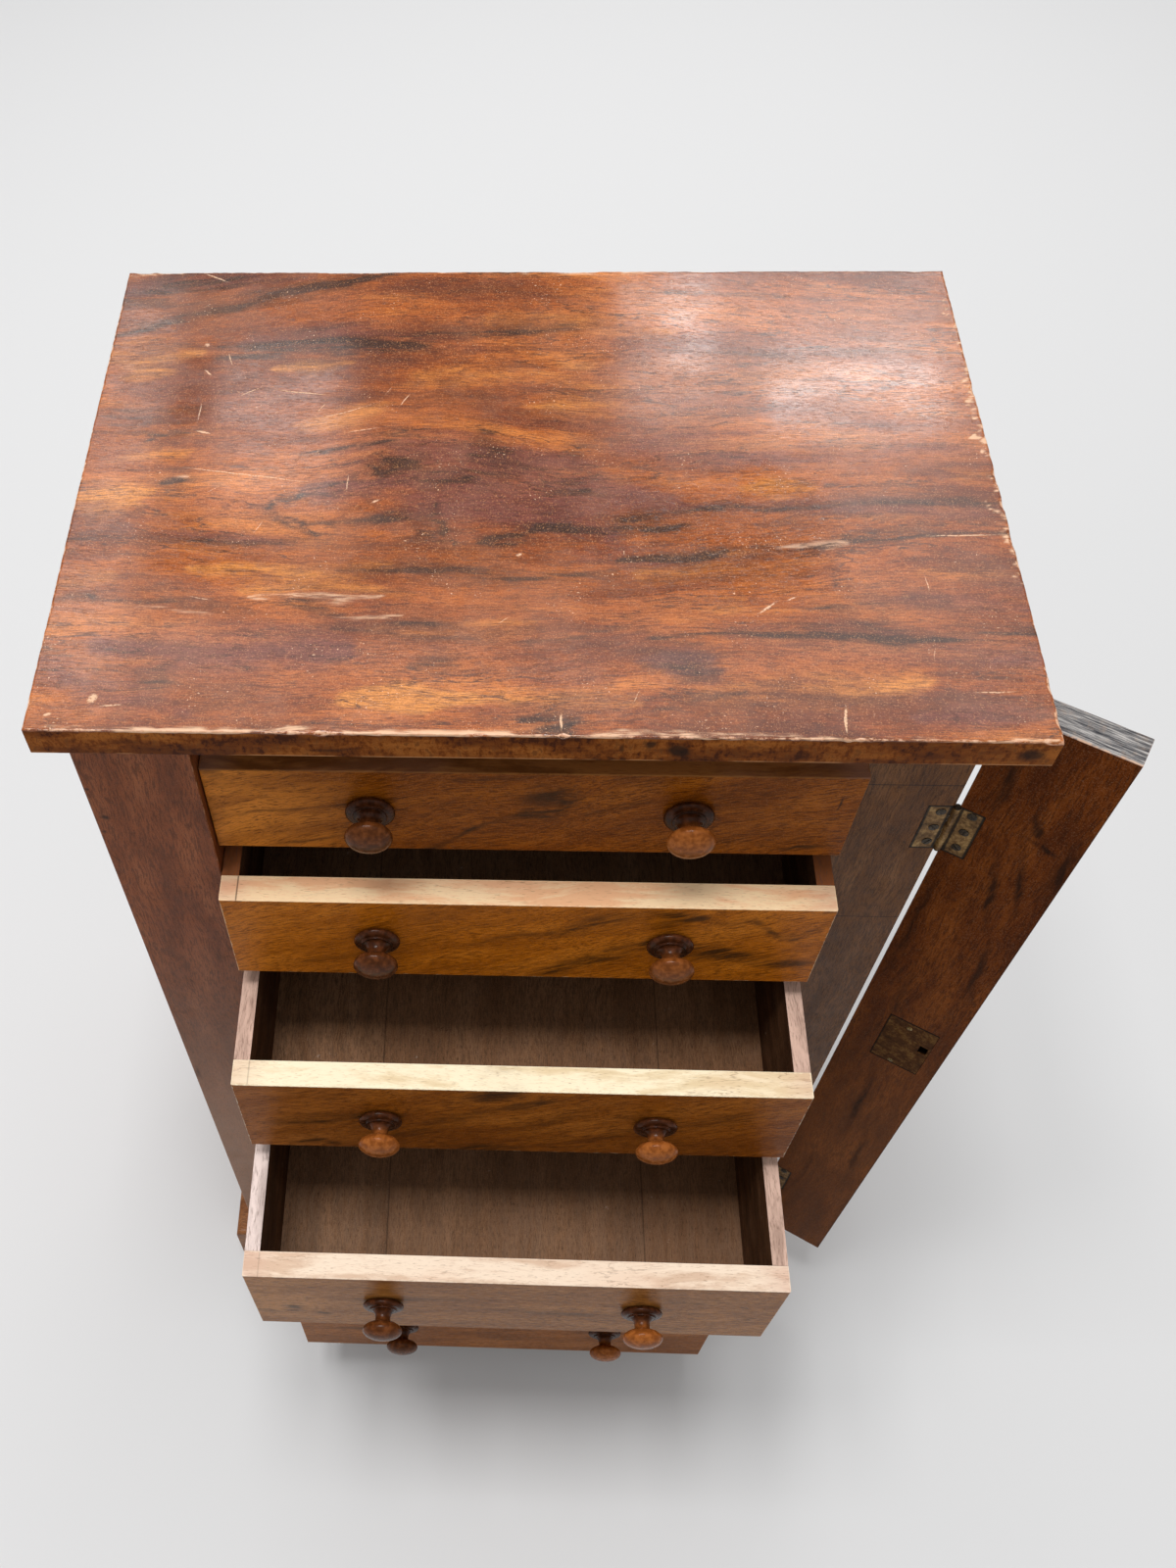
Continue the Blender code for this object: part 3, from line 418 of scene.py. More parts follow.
class Grain:
    """The shared figure of walnut, drawn out along one axis, from broad bands down to pores."""

    def __init__(self, finish, place, along, scale=1.0, sway=0.022):
        self.finish = finish
        self.along = along
        swayed = finish.warped(place, 6.0 * scale, (sway, sway, sway))
        self.swayed = finish.warped(swayed, 26.0 * scale, (0.006, 0.006, 0.006))
        self.broad = self.drawn_noise(3.0, 13.0 * scale, 3.0, 0.6)
        self.bands = self.drawn_noise(6.0, 50.0 * scale, 8.0, 0.64)
        self.fibre = self.drawn_noise(11.0, 150.0 * scale, 6.0, 0.70)
        self.lines = self.drawn_noise(11.0, 880.0, 3.0, 0.70)
        self.pores = finish.noise(finish.drawn(place, along, 10.0), 1900.0, 1.0, 0.5)
        level = self.drawn_noise(9.0, 70.0 * scale, 5.0, 0.55)
        hair = finish.span(finish.apart(level, 0.5), 0.014, 0.002)
        self.hairs = finish.times(hair, finish.span(self.broad, 0.44, 0.56))
        self.grit = finish.noise(place, 1200.0, 2.0, 0.7)

    def drawn_noise(self, ratio, scale, detail, roughness):
        """Noise drawn out along the swaying grain."""
        return self.finish.noise(self.finish.drawn(self.swayed, self.along, ratio), scale, detail, roughness)

    def figure(self, dark, middle, light):
        """Colours of the bands, with thin darker fibres and lines over them."""
        finish = self.finish
        shade = finish.blended(self.bands, self.broad, 0.6)
        darker = finish.mix(0.65, dark, BLACK)
        return finish.layers(
            finish.ramp(shade, (0.42, 0.50, 0.59), (dark, middle, light)),
            (dark, self.fibre, 0.50, 0.66, 0.45),
            (darker, finish.times(self.hairs, 0.5)),
            (darker, self.lines, 0.53, 0.40, 0.60),
            (darker, self.grit, 0.46, 0.32, 0.45),
            (finish.mix(0.4, light, (0.8, 0.62, 0.42)), self.grit, 0.54, 0.70, 0.22),
        )

    def streaked(self, streaks, strength=DARKEST_STREAK):
        """How dark the given streaks are once they're torn into fibres."""
        finish = self.finish
        torn = finish.times(streaks, finish.span(self.fibre, 0.40, 0.60, 0.30, 1.25))
        torn = finish.times(torn, finish.span(self.lines, 0.40, 0.58, 0.65, 1.1))
        return finish.math("MINIMUM", finish.times(torn, strength), DARKEST_STREAK)

    def relief(self, depth=0.00010, extra=None):
        """Bump of open pores and raised grain."""
        finish = self.finish
        height = finish.plus(finish.times(self.lines, 0.6), finish.span(self.pores, 0.30, 0.42))
        if extra is not None:
            height = finish.plus(height, extra)
        return finish.bump(height, depth)


# Scratches, flecks and chips of the top, as marks
TOP_SCRATCHES = (
    (185, 498, 660, 8, -9, 1.0), (235, 688, 300, 9, -8, 1.0), (259, 650, 110, 6, 62, 0.8),
    (355, 670, 100, 6, 65, 1.0), (297, 480, 6, 120, 0, 0.9), (902, 280, 6, 110, 0, 0.8),
    (205, 385, 110, 6, 66, 0.7), (335, 690, 80, 6, 60, 0.6), (150, 466, 80, 6, 40, 0.8),
    (155, 242, 120, 5, -14, 0.8), (600, 70, 100, 6, 70, 0.7), (895, 150, 90, 6, 75, 0.6),
    (128, 594, 70, 14, -16, 1.3), (122, 735, 60, 12, -50, 0.9), (737, 232, 110, 11, 38, 1.1),
    (763, 250, 50, 9, 30, 1.0), (64, 55, 60, 40, 60, 1.2), (84, 44, 100, 10, 4, 0.9),
    (526, 24, 12, 90, 0, 1.4), (798, 35, 13, 140, -3, 1.4), (22, 27, 35, 20, 20, 1.1),
    (285, 640, 340, 6, 22, 0.8), (175, 690, 140, 7, 30, 0.9), (120, 640, 7, 160, 0, 0.7),
    (310, 600, 180, 6, 12, 0.8), (145, 770, 100, 7, -70, 0.9), (470, 205, 70, 6, 40, 0.7),
    (950, 377, 340, 8, 2, 1.0), (115, 805, 30, 30, 0, 0.9), (330, 442, 50, 12, 35, 0.8),
    (485, 333, 30, 16, 20, 0.9), (945, 83, 200, 10, 3, 0.8), (110, 985, 160, 10, -30, 0.9),
)


def top_walnut():
    """The top: red-brown and amber figure, dark heartwood, scratches, specks, and a pale worn arris.

    The mesh carries the flow of the grain and the figure's dark, gold, mauve and pale parts.
    """
    finish = Finish("top_walnut")
    place = finish.place()
    grain = Grain(finish, finish.carried_vector("flow"), X_AXIS, 1.0, 0.012)
    ground = finish.ramp(
        finish.blended(grain.bands, grain.broad, 0.5),
        (0.39, 0.46, 0.50, 0.54, 0.62),
        tones((102, 47, 19), (131, 62, 23), (153, 77, 28), (172, 91, 34), (200, 117, 50)),
    )
    patches = finish.noise(finish.drawn(grain.swayed, X_AXIS, 2.0), 11.0, 3.0, 0.6)
    gold = finish.times(finish.attribute("gold"), finish.span(grain.bands, 0.40, 0.60, 0.35, 1.0))
    mauve = finish.times(finish.attribute("mauve"), finish.span(grain.bands, 0.62, 0.38, 0.6, 1.1))
    specks = finish.noise(place, 650.0, 2.0, 0.6)
    few = finish.noise(place, 26.0, 2.0, 0.6)
    speck = finish.times(finish.span(specks, 0.66, 0.72), finish.span(few, 0.54, 0.64))
    wandering = finish.warped(place, 60.0, (0.0030, 0.0030, 0.0), 3.0)
    scratch = marks(finish, wandering, TOP_SCRATCHES, TOP_LOW, TOP_SIZE, Y_AXIS)
    scratch = finish.times(scratch, finish.span(specks, 0.34, 0.56, 0.35, 0.95))
    # The pale figure includes a line along the front arris that is partly a painted highlight
    pale = finish.times(finish.attribute("pale"), finish.span(grain.fibre, 0.58, 0.42, 0.2, 1.0))
    light = finish.math("MAXIMUM", finish.math("MAXIMUM", speck, scratch), pale)
    bloom = finish.noise(place, 9.0, 5.0, 0.75)
    ragged = finish.noise(finish.mapped(place, size=(2.0, 2.0, 1.0)), 420.0, 4.0, 0.65)
    bare = finish.times(finish.attribute("worn"), finish.span(ragged, 0.38, 0.60, 0.15, 1.25))
    bare = finish.span(bare, 0.15, 0.85)
    colour = finish.layers(
        ground,
        (tone(188, 104, 48), patches, 0.50, 0.62, 0.35),
        (tone(118, 62, 42), patches, 0.48, 0.38, 0.45),
        (tone(214, 136, 58), gold, 0.02, 0.95, 0.85),
        (tone(113, 64, 58), mauve, 0.02, 0.85, 0.82),
        (tone(84, 40, 22), grain.fibre, 0.51, 0.64, 0.46),
        (tone(72, 34, 19), grain.lines, 0.54, 0.41, 0.50),
        (tone(56, 30, 20), finish.times(grain.hairs, 0.75)),
        (tone(42, 28, 21), grain.streaked(finish.attribute("dark"), 0.82)),
        (tone(62, 34, 26), grain.pores, 0.42, 0.30, 0.6),
        (tone(70, 36, 24), grain.grit, 0.46, 0.34, 0.40),
        (tone(222, 154, 100), grain.grit, 0.55, 0.70, 0.40),
        (tone(226, 184, 148), light, 0.06, 0.80, 0.85),
        (tone(176, 132, 110), bloom, 0.46, 0.66, 0.12),
        (finish.layers(tone(190, 128, 90), (tone(226, 184, 152), ragged, 0.4, 0.7, 1.0)), bare),
    )
    smear = finish.noise(finish.drawn(place, X_AXIS, 2.0), 40.0, 5.0, 0.7)
    roughness = finish.plus(finish.span(smear, 0.35, 0.65, 0.08, 0.17), finish.times(light, 0.3))
    roughness = finish.plus(roughness, finish.times(bare, 0.3))
    hollows = finish.math("SUBTRACT", finish.times(grain.fibre, 0.6), scratch)
    return finish.done(colour, roughness, grain.relief(0.00003, hollows), specular=0.5)


# Dark blots on the front edge of the top, as marks
EDGE_BLOTS = (
    (640, 450, 120, 90, -30, 1.0), (612, 700, 60, 50, 20, 0.8), (585, 550, 30, 80, 0, 0.6),
    (975, 450, 140, 100, 0, 0.8), (100, 550, 200, 40, 0, 0.4), (300, 300, 300, 30, 4, 0.5),
)


def top_edge():
    """The top board's edges and underside: brown with dark flecks across, blots, and a paler lower arris."""
    finish = Finish("top_edge")
    place = finish.place()
    swayed = finish.warped(place, 26.0, (0.006, 0.006, 0.006))
    flecks = finish.noise(finish.mapped(swayed, size=(1.6, 1.6, 3.0)), 420.0, 5.0, 0.7)
    broad = finish.noise(finish.mapped(place, size=(3.0, 3.0, 1.0)), 60.0, 4.0, 0.65)
    shade = finish.blended(flecks, broad, 0.5)
    wandering = finish.warped(place, 60.0, (0.0040, 0.0, 0.0040), 3.0)
    blots = marks(finish, wandering, EDGE_BLOTS, TOP_LOW, TOP_SIZE, Z_AXIS)
    low = finish.span(finish.part(place, Z_AXIS), TOP_LOW.z + 0.0020, TOP_LOW.z + 0.0006)
    low = finish.times(low, finish.span(broad, 0.42, 0.56))
    colour = finish.layers(
        finish.ramp(shade, (0.41, 0.50, 0.58), tones((72, 32, 9), (130, 68, 20), (174, 104, 44))),
        (tone(66, 32, 14), flecks, 0.52, 0.62, 0.55),
        (tone(34, 22, 16), blots, 0.1, 0.8, 0.85),
        (tone(210, 156, 108), finish.times(low, 0.7)),
    )
    roughness = finish.span(broad, 0.3, 0.7, 0.35, 0.5)
    return finish.done(colour, roughness, finish.bump(flecks, 0.00008), specular=0.04)


# Dark figure of each drawer front, as marks
FRONT_EBONY = {
    1: (
        (345, 50, 200, 22, 28, 1.0), (400, 240, 260, 24, 33, 0.9), (470, 420, 260, 40, 26, 0.7),
        (515, 500, 240, 80, 10, 1.1), (530, 740, 300, 100, 14, 0.9), (560, 620, 180, 60, 45, 0.8),
        (630, 580, 360, 30, 22, 0.6), (100, 480, 600, 20, 12, 0.7), (260, 660, 500, 18, 14, 0.6),
        (965, 680, 13, 60, 0, 1.4), (930, 100, 240, 20, 14, 0.9), (150, 120, 500, 18, 14, 0.6),
        (450, 920, 600, 22, 8, 0.5), (670, 930, 300, 100, 0, 0.5), (12, 980, 100, 60, 0, 0.9),
    ),
    2: (
        (620, 780, 550, 80, 26, 0.8), (770, 900, 450, 50, -14, 0.8), (900, 740, 300, 30, -42, 0.9),
        (965, 720, 260, 30, 48, 0.8), (930, 660, 160, 40, 0, 0.8), (840, 400, 500, 90, -18, 1.2),
        (950, 280, 340, 70, -6, 1.0), (640, 340, 600, 90, 30, 0.8), (550, 80, 340, 60, 24, 1.0),
        (720, 560, 340, 60, 40, 0.8), (340, 550, 700, 40, 26, 0.4), (200, 250, 700, 40, 12, 0.35),
        (500, 600, 600, 40, 20, 0.5), (740, 860, 300, 120, 10, 0.5),
    ),
    3: (
        (120, 440, 500, 60, 4, 1.0), (460, 930, 300, 90, 12, 1.1), (520, 800, 340, 60, 20, 0.8),
        (400, 580, 600, 70, 30, 0.6), (550, 550, 600, 80, 32, 0.6), (110, 120, 240, 40, 20, 0.9),
        (150, 100, 200, 40, -30, 0.9), (440, 50, 440, 60, 6, 1.0), (660, 300, 500, 60, 28, 0.6),
        (850, 600, 500, 90, 24, 0.5), (200, 550, 600, 60, 2, 0.8), (320, 300, 500, 50, 24, 0.6),
    ),
    4: (
        (75, 330, 140, 100, 10, 1.0), (130, 240, 80, 60, 0, 1.0), (30, 270, 180, 40, 0, 0.8),
        (300, 600, 800, 60, 8, 0.5), (600, 400, 900, 60, -6, 0.5), (850, 750, 500, 60, 12, 0.5),
    ),
    5: (
        (350, 600, 800, 70, 14, 0.7), (700, 400, 600, 70, 24, 0.8), (150, 250, 500, 50, 10, 0.6),
        (550, 200, 600, 60, 10, 0.6),
    ),
    6: (
        (300, 700, 800, 70, 6, 0.6), (750, 600, 600, 80, 18, 0.7), (500, 250, 700, 60, 10, 0.6),
        (150, 400, 600, 60, 8, 0.6), (480, 880, 400, 60, 12, 0.6),
    ),
}
# Colours of each front: dark, middle, light and left end of its face, and dark and light of its top edge
FRONT_TONES = {
    # The first front's top edge is darker, partly its own less worn wood and partly painted shade under the
    # top's overhang
    1: tones((128, 64, 6), (152, 80, 10), (172, 96, 22), (236, 148, 56), (120, 74, 36), (164, 108, 56)),
    2: tones((166, 90, 10), (190, 106, 14), (208, 122, 30), (212, 130, 52), (242, 188, 144), (252, 220, 176)),
    3: tones((130, 68, 12), (154, 85, 18), (174, 102, 32), (186, 118, 62), (230, 208, 168), (252, 238, 206)),
    # The fourth front's face tones are greyer, a painted sheen of reflected light
    4: tones((140, 84, 31), (162, 103, 44), (182, 121, 60), (212, 150, 92), (220, 190, 164), (244, 223, 200)),
    5: tones((112, 58, 14), (140, 78, 22), (166, 100, 38), (170, 104, 50), (190, 144, 106), (220, 180, 138)),
    6: tones((132, 74, 18), (156, 90, 30), (178, 110, 50), (190, 124, 66), (180, 140, 104), (220, 182, 142)),
}
# Each front: (slant of its figure in degrees, how light its left end is, how dark its joint is, gloss)
FRONT_LOOKS = {
    1: (16, 0.85, 0.0, 0.06),
    2: (22, 0.30, 0.75, 0.06),
    3: (20, 0.55, 0.3, 0.04),
    4: (3, 0.45, 0.2, 0.085),
    5: (14, 0.3, 0.3, 0.07),
    6: (8, 0.3, 0.3, 0.045),
}
# How far a front's left joint lies from its end, in metres
JOINT_INSET = 0.012


def front_walnut(number):
    """A drawer front: golden walnut with its own dark streaks, pale along its top and its worn arrises, whose
    pale line is partly a painted highlight.
    """
    finish = Finish(f"front_walnut_{number}")
    low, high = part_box(f"drawer_{number}_front")
    dark, middle, light, left_end, raw_dark, raw_light = FRONT_TONES[number]
    slant, leftward, joint_dark, gloss = FRONT_LOOKS[number]
    place = finish.place()
    across, height = finish.part(place, X_AXIS), finish.part(place, Z_AXIS)
    slanted = finish.mapped(place, (0.0, 0.0, low.z), (0.0, -radians(slant), 0.0))
    flame = Grain(finish, slanted, X_AXIS, 1.0, 0.04)
    straight = Grain(finish, place, X_AXIS, 1.2)
    feathered = finish.warped(place, 26.0, (0.014, 0.0, 0.014))
    feathered = finish.warped(feathered, 75.0, (0.014, 0.0, 0.0060), 4.0)
    ebony = marks(finish, feathered, FRONT_EBONY[number], low, tuple(high - low), Z_AXIS, 1.7)
    streaks = flame.streaked(ebony, 0.85)
    at_left = finish.span(finish.part(flame.swayed, X_AXIS), -0.06, -0.20, 0.0, leftward)
    face = finish.layers(
        flame.figure(dark, middle, light),
        (left_end, finish.times(at_left, finish.span(flame.bands, 0.36, 0.56, 0.5, 1.0))),
        (dark, flame.lines, 0.50, 0.38, 0.45),
        (tone(44, 20, 6), flame.lines, 0.44, 0.36, 0.40),
        (light, flame.lines, 0.54, 0.64, 0.40),
        (tone(46, 30, 16), streaks),
        (tone(50, 26, 10), straight.pores, 0.42, 0.28, 0.45),
    )
    half = (high.x - low.x) / 2
    at_end = finish.span(finish.apart(across, (low.x + high.x) / 2), half - 0.03, half)
    raw = finish.layers(
        raw_dark,
        (raw_light, straight.bands, 0.42, 0.56, 1.0),
        (finish.mix(0.4, raw_dark, tone(236, 184, 156)), straight.broad, 0.47, 0.60, 0.3),
        (raw_dark, straight.lines, 0.46, 0.34, 0.5),
        (tone(120, 82, 58), straight.hairs, 0.2, 1.0, 0.35),
        (tone(206, 160, 142), finish.times(at_end, 0.35)),
        (tone(110, 80, 56), finish.times(streaks, 0.25)),
        (tone(70, 52, 42), finish.apart(across, low.x + JOINT_INSET), 0.0008, 0.0002, joint_dark),
        (tone(140, 98, 66), straight.pores, 0.36, 0.26, 0.45),
    )
    bare = finish.span(height, high.z - 0.0010, high.z - 0.0003)
    ragged = finish.noise(place, 190.0, 4.0, 0.65)
    worn = worn_arris(finish, place, low, high, ragged, (0.36, 0.74, 0.0004, 0.0018))
    # The pale worn arrises are partly wear and partly a painted highlight along the edges
    colour = finish.layers(face, (raw, bare), (raw_light, finish.times(worn, 0.6)))
    roughness = finish.plus(finish.span(ragged, 0.3, 0.7, 0.28, 0.40), finish.times(bare, 0.3))
    return finish.done(colour, roughness, straight.relief(), specular=gloss)


def case_walnut(name, node, along, wood, rub=0.6, joints=(), features=(), floor_sheen_share=0.0):
    """Polished walnut of the case: (dark, middle, light) tones, rubbed arrises, thin veneer joints, and, by
    the floor sheen share, a painted sheen of the bright floor, paler and greyer low on its front face.
    """
    finish = Finish(name)
    low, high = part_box(node)
    place = finish.place()
    height = finish.part(place, Z_AXIS)
    grain = Grain(finish, place, along, 0.85)
    # Painted reflection: the front face turns paler and greyer towards its foot, as a sheen of the bright
    # floor
    near = finish.span(finish.part(place, Y_AXIS), 0.05, 0.0, 0.0, floor_sheen_share)
    painted_floor_sheen = finish.times(finish.span(height, 0.80, 0.30), near)
    colour = finish.layers(grain.figure(*wood), (tone(176, 138, 112), painted_floor_sheen))
    for joint in joints:
        colour = finish.layers(colour, (tone(34, 22, 16), finish.apart(height, joint), 0.0009, 0.0002, 0.7))
    if features:
        feathered = finish.warped(grain.swayed, 75.0, (0.003, 0.0, 0.010), 4.0)
        streaks = marks(finish, feathered, features, low, tuple(high - low), Z_AXIS)
        colour = finish.layers(colour, (BARK_BROWN, grain.streaked(streaks)))
    ragged = finish.noise(place, 170.0, 4.0, 0.65)
    worn = worn_arris(finish, place, low, high, ragged, (0.40, 0.78, 0.0003, 0.0018))
    marked = finish.noise(place, 52.0, 5.0, 0.7)
    colour = finish.layers(
        colour,
        (tone(44, 26, 18), grain.pores, 0.42, 0.28, 0.45),
        (tone(186, 138, 108), finish.times(worn, rub)),
        (BARK_BROWN, marked, 0.64, 0.70, 0.5),
    )
    return finish.done(colour, finish.span(marked, 0.3, 0.7, 0.30, 0.44), grain.relief(), specular=0.12)


# The flap: its axis and its turn from the world, and its box in its own directions (along, into it, up)
FLAP_AXIS = (0.28475, 0.0245, 0.0)
FLAP_TURN = radians(-29.5)
FLAP_LOW = (0.0015, 0.0005, 0.097)
FLAP_HIGH = (0.0810, 0.0245, 1.007)
FLAP_SIZE = tuple(Vector(FLAP_HIGH) - Vector(FLAP_LOW))
# Dark streaks of the flap, as marks
FLAP_STREAKS = (
    (550, 815, 600, 30, -80, 0.9), (720, 830, 440, 26, -78, 0.8), (920, 870, 500, 60, 88, 0.7),
    (220, 930, 400, 40, -84, 0.6), (800, 700, 600, 30, -84, 0.5), (350, 600, 800, 40, -86, 0.5),
    (620, 900, 200, 30, -60, 0.9), (700, 885, 160, 30, -20, 0.8), (500, 400, 1200, 40, -87, 0.5),
    (100, 720, 1000, 40, 90, 0.6), (750, 300, 1200, 40, -86, 0.4), (300, 200, 1000, 30, 88, 0.4),
)


def flap_walnut():
    """The flap: brown inside with upright streaks, paler and greyer low down as a painted sheen of the floor,
    a dark free edge, and a grey end with growth rings.
    """
    finish = Finish("flap_walnut")
    place = finish.mapped(finish.place(), FLAP_AXIS, (0.0, 0.0, FLAP_TURN))
    height = finish.part(place, Z_AXIS)
    grain = Grain(finish, place, Z_AXIS, 0.9)
    feathered = finish.warped(grain.swayed, 75.0, (0.003, 0.0, 0.012), 4.0)
    streaks = marks(finish, feathered, FLAP_STREAKS, FLAP_LOW, FLAP_SIZE, Z_AXIS, 1.5)
    free_edge = finish.span(finish.part(place, X_AXIS), 0.0799, 0.0808)
    rings = finish.noise(finish.drawn(place, X_AXIS, 16.0), 900.0, 4.0, 0.7)
    worn_grey = finish.noise(place, 160.0, 4.0, 0.7)
    at_rim = finish.span(finish.part(place, Y_AXIS), 0.0030, 0.0008)
    rim = finish.times(at_rim, finish.span(worn_grey, 0.40, 0.55))
    end = finish.layers(
        finish.ramp(rings, (0.36, 0.50, 0.62), tones((50, 50, 54), (112, 110, 110), (172, 168, 164))),
        (tone(150, 134, 122), worn_grey, 0.50, 0.70, 0.5),
        (tone(206, 168, 140), finish.times(rim, 0.8)),
    )
    on_end = finish.span(height, FLAP_HIGH[Z_AXIS] - 0.0006, FLAP_HIGH[Z_AXIS] - 0.0002)
    ragged = finish.noise(place, 170.0, 4.0, 0.65)
    worn = worn_arris(finish, place, FLAP_LOW, FLAP_HIGH, ragged, (0.45, 0.80, 0.0002, 0.0014))
    colour = finish.layers(
        grain.figure(tone(92, 42, 7), tone(116, 57, 12), tone(142, 76, 24)),
        # Painted reflection: paler and greyer towards the foot of the flap, as a sheen of the bright floor
        (tone(132, 88, 54), finish.times(finish.span(height, 0.75, 0.35), 0.3)),
        (tone(38, 20, 9), grain.streaked(streaks, 1.3)),
        (BARK_BROWN, finish.times(free_edge, 0.7)),
        (end, on_end),
        (tone(160, 112, 84), finish.times(worn, 0.3)),
    )
    roughness = finish.plus(finish.span(ragged, 0.3, 0.7, 0.32, 0.44), finish.times(on_end, 0.3))
    return finish.done(colour, roughness, grain.relief(), specular=0.03)


FADED_TONE = tone(154, 126, 104)


def lining(node, along, wood, top_tone=None, joints=(), across=X_AXIS, faded=0.0):
    """Dry wood of the linings and boards: (dark, middle, light) tones, and a top edge of its own tone, mostly
    handled and paler, on some darker with painted shade.

    The joints are those of its boards, as places along one axis, and faded is how pale it is in front.
    """
    finish = Finish(f"{node}_wood")
    low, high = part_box(node)
    place = finish.place()
    grain = Grain(finish, place, along, 1.3, 0.007)
    dark = wood[0]
    near = finish.span(finish.part(place, Y_AXIS), low.y + 0.200, low.y + 0.020, 0.0, faded)
    near = finish.times(near, finish.span(grain.fibre, 0.38, 0.60, 0.6, 1.0))
    colour = finish.layers(grain.figure(*wood), (FADED_TONE, near))
    for joint in joints:
        past = finish.math("SUBTRACT", finish.part(place, across), joint)
        gap = (tone(30, 20, 14), finish.math("ABSOLUTE", past), 0.0010, 0.0002, 0.5)
        colour = finish.layers(colour, (dark, past, 0.0, 0.0004, 0.15), gap)
    dust = finish.noise(place, 30.0, 6.0, 0.75)
    marked = finish.noise(place, 75.0, 5.0, 0.7)
    colour = finish.layers(
        colour,
        (tone(140, 108, 86), dust, 0.50, 0.80, 0.35),
        (tone(176, 158, 142), marked, 0.68, 0.72, 0.45),
        (tone(36, 24, 18), marked, 0.31, 0.27, 0.6),
        (tone(36, 24, 16), grain.pores, 0.42, 0.28, 0.5),
    )
    if top_tone is not None:
        bare = finish.layers(
            top_tone,
            (finish.mix(0.6, top_tone, dark), grain.bands, 0.56, 0.36, 0.65),
            (tone(104, 76, 64), grain.lines, 0.50, 0.34, 0.5),
        )
        height = finish.part(place, Z_AXIS)
        colour = finish.layers(colour, (bare, height, high.z - 0.0008, high.z - 0.0002, 1.0))
    stain = finish.noise(place, 12.0, 3.0, 0.6)
    return finish.done(colour, finish.span(stain, 0.3, 0.7, 0.55, 0.75), grain.relief(0.00016), specular=0.08)


# Heights of the second and third drawers' knobs, in metres
SECOND_KNOBS = 0.800
THIRD_KNOBS = 0.667


def knob_wood():
    """Dark turned wood, with crowns rubbed to orange on the right and on the third drawer.

    The UV map's height runs along the profile, from the spigot at 0 to the tip at 1.
    """
    finish = Finish("knob_wood")
    place, chart = finish.place(), finish.chart()
    along, up = finish.part(chart, Y_AXIS), finish.part(place, Z_AXIS)
    mottle = finish.noise(place, 240.0, 2.0, 0.5)
    right_hand = finish.span(finish.part(place, X_AXIS), -0.02, 0.02, 0.20, 0.85)
    third = finish.span(finish.apart(up, THIRD_KNOBS), 0.065, 0.050, 0.0, 0.85)
    second = finish.span(finish.apart(up, SECOND_KNOBS), 0.055, 0.065, 0.55, 1.0)
    rubbed = finish.times(finish.math("MAXIMUM", right_hand, third), second)
    rubbed = finish.times(rubbed, finish.span(along, 0.50, 0.72))
    crown = finish.layers(tone(136, 74, 28), (tone(170, 99, 44), mottle, 0.36, 0.64, 1.0))
    turned = finish.noise(finish.drawn(chart, X_AXIS, 30.0), 160.0, 2.0, 0.5)
    colour = finish.layers(
        finish.ramp(mottle, (0.36, 0.50, 0.64), tones((52, 26, 12), (65, 33, 16), (82, 43, 22))),
        (crown, rubbed),
        (tone(34, 20, 15), finish.apart(along, 0.40), 0.05, 0.01, 0.5),
        (tone(34, 17, 10), turned, 0.55, 0.75, 0.25),
    )
    roughness = finish.span(mottle, 0.3, 0.7, 0.22, 0.28)
    return finish.done(colour, roughness, finish.bump(turned, 0.000012, 0.5), specular=0.10, coat=0.03)


# Edges of the brass in the flap's directions: leaf end and barrel from the axis, lock plate's side and face
LEAF_REACH = 0.0185
BARREL_ROOT = 0.0036
LOCK_NEAR = 0.027
LOCK_FACE = 0.0005


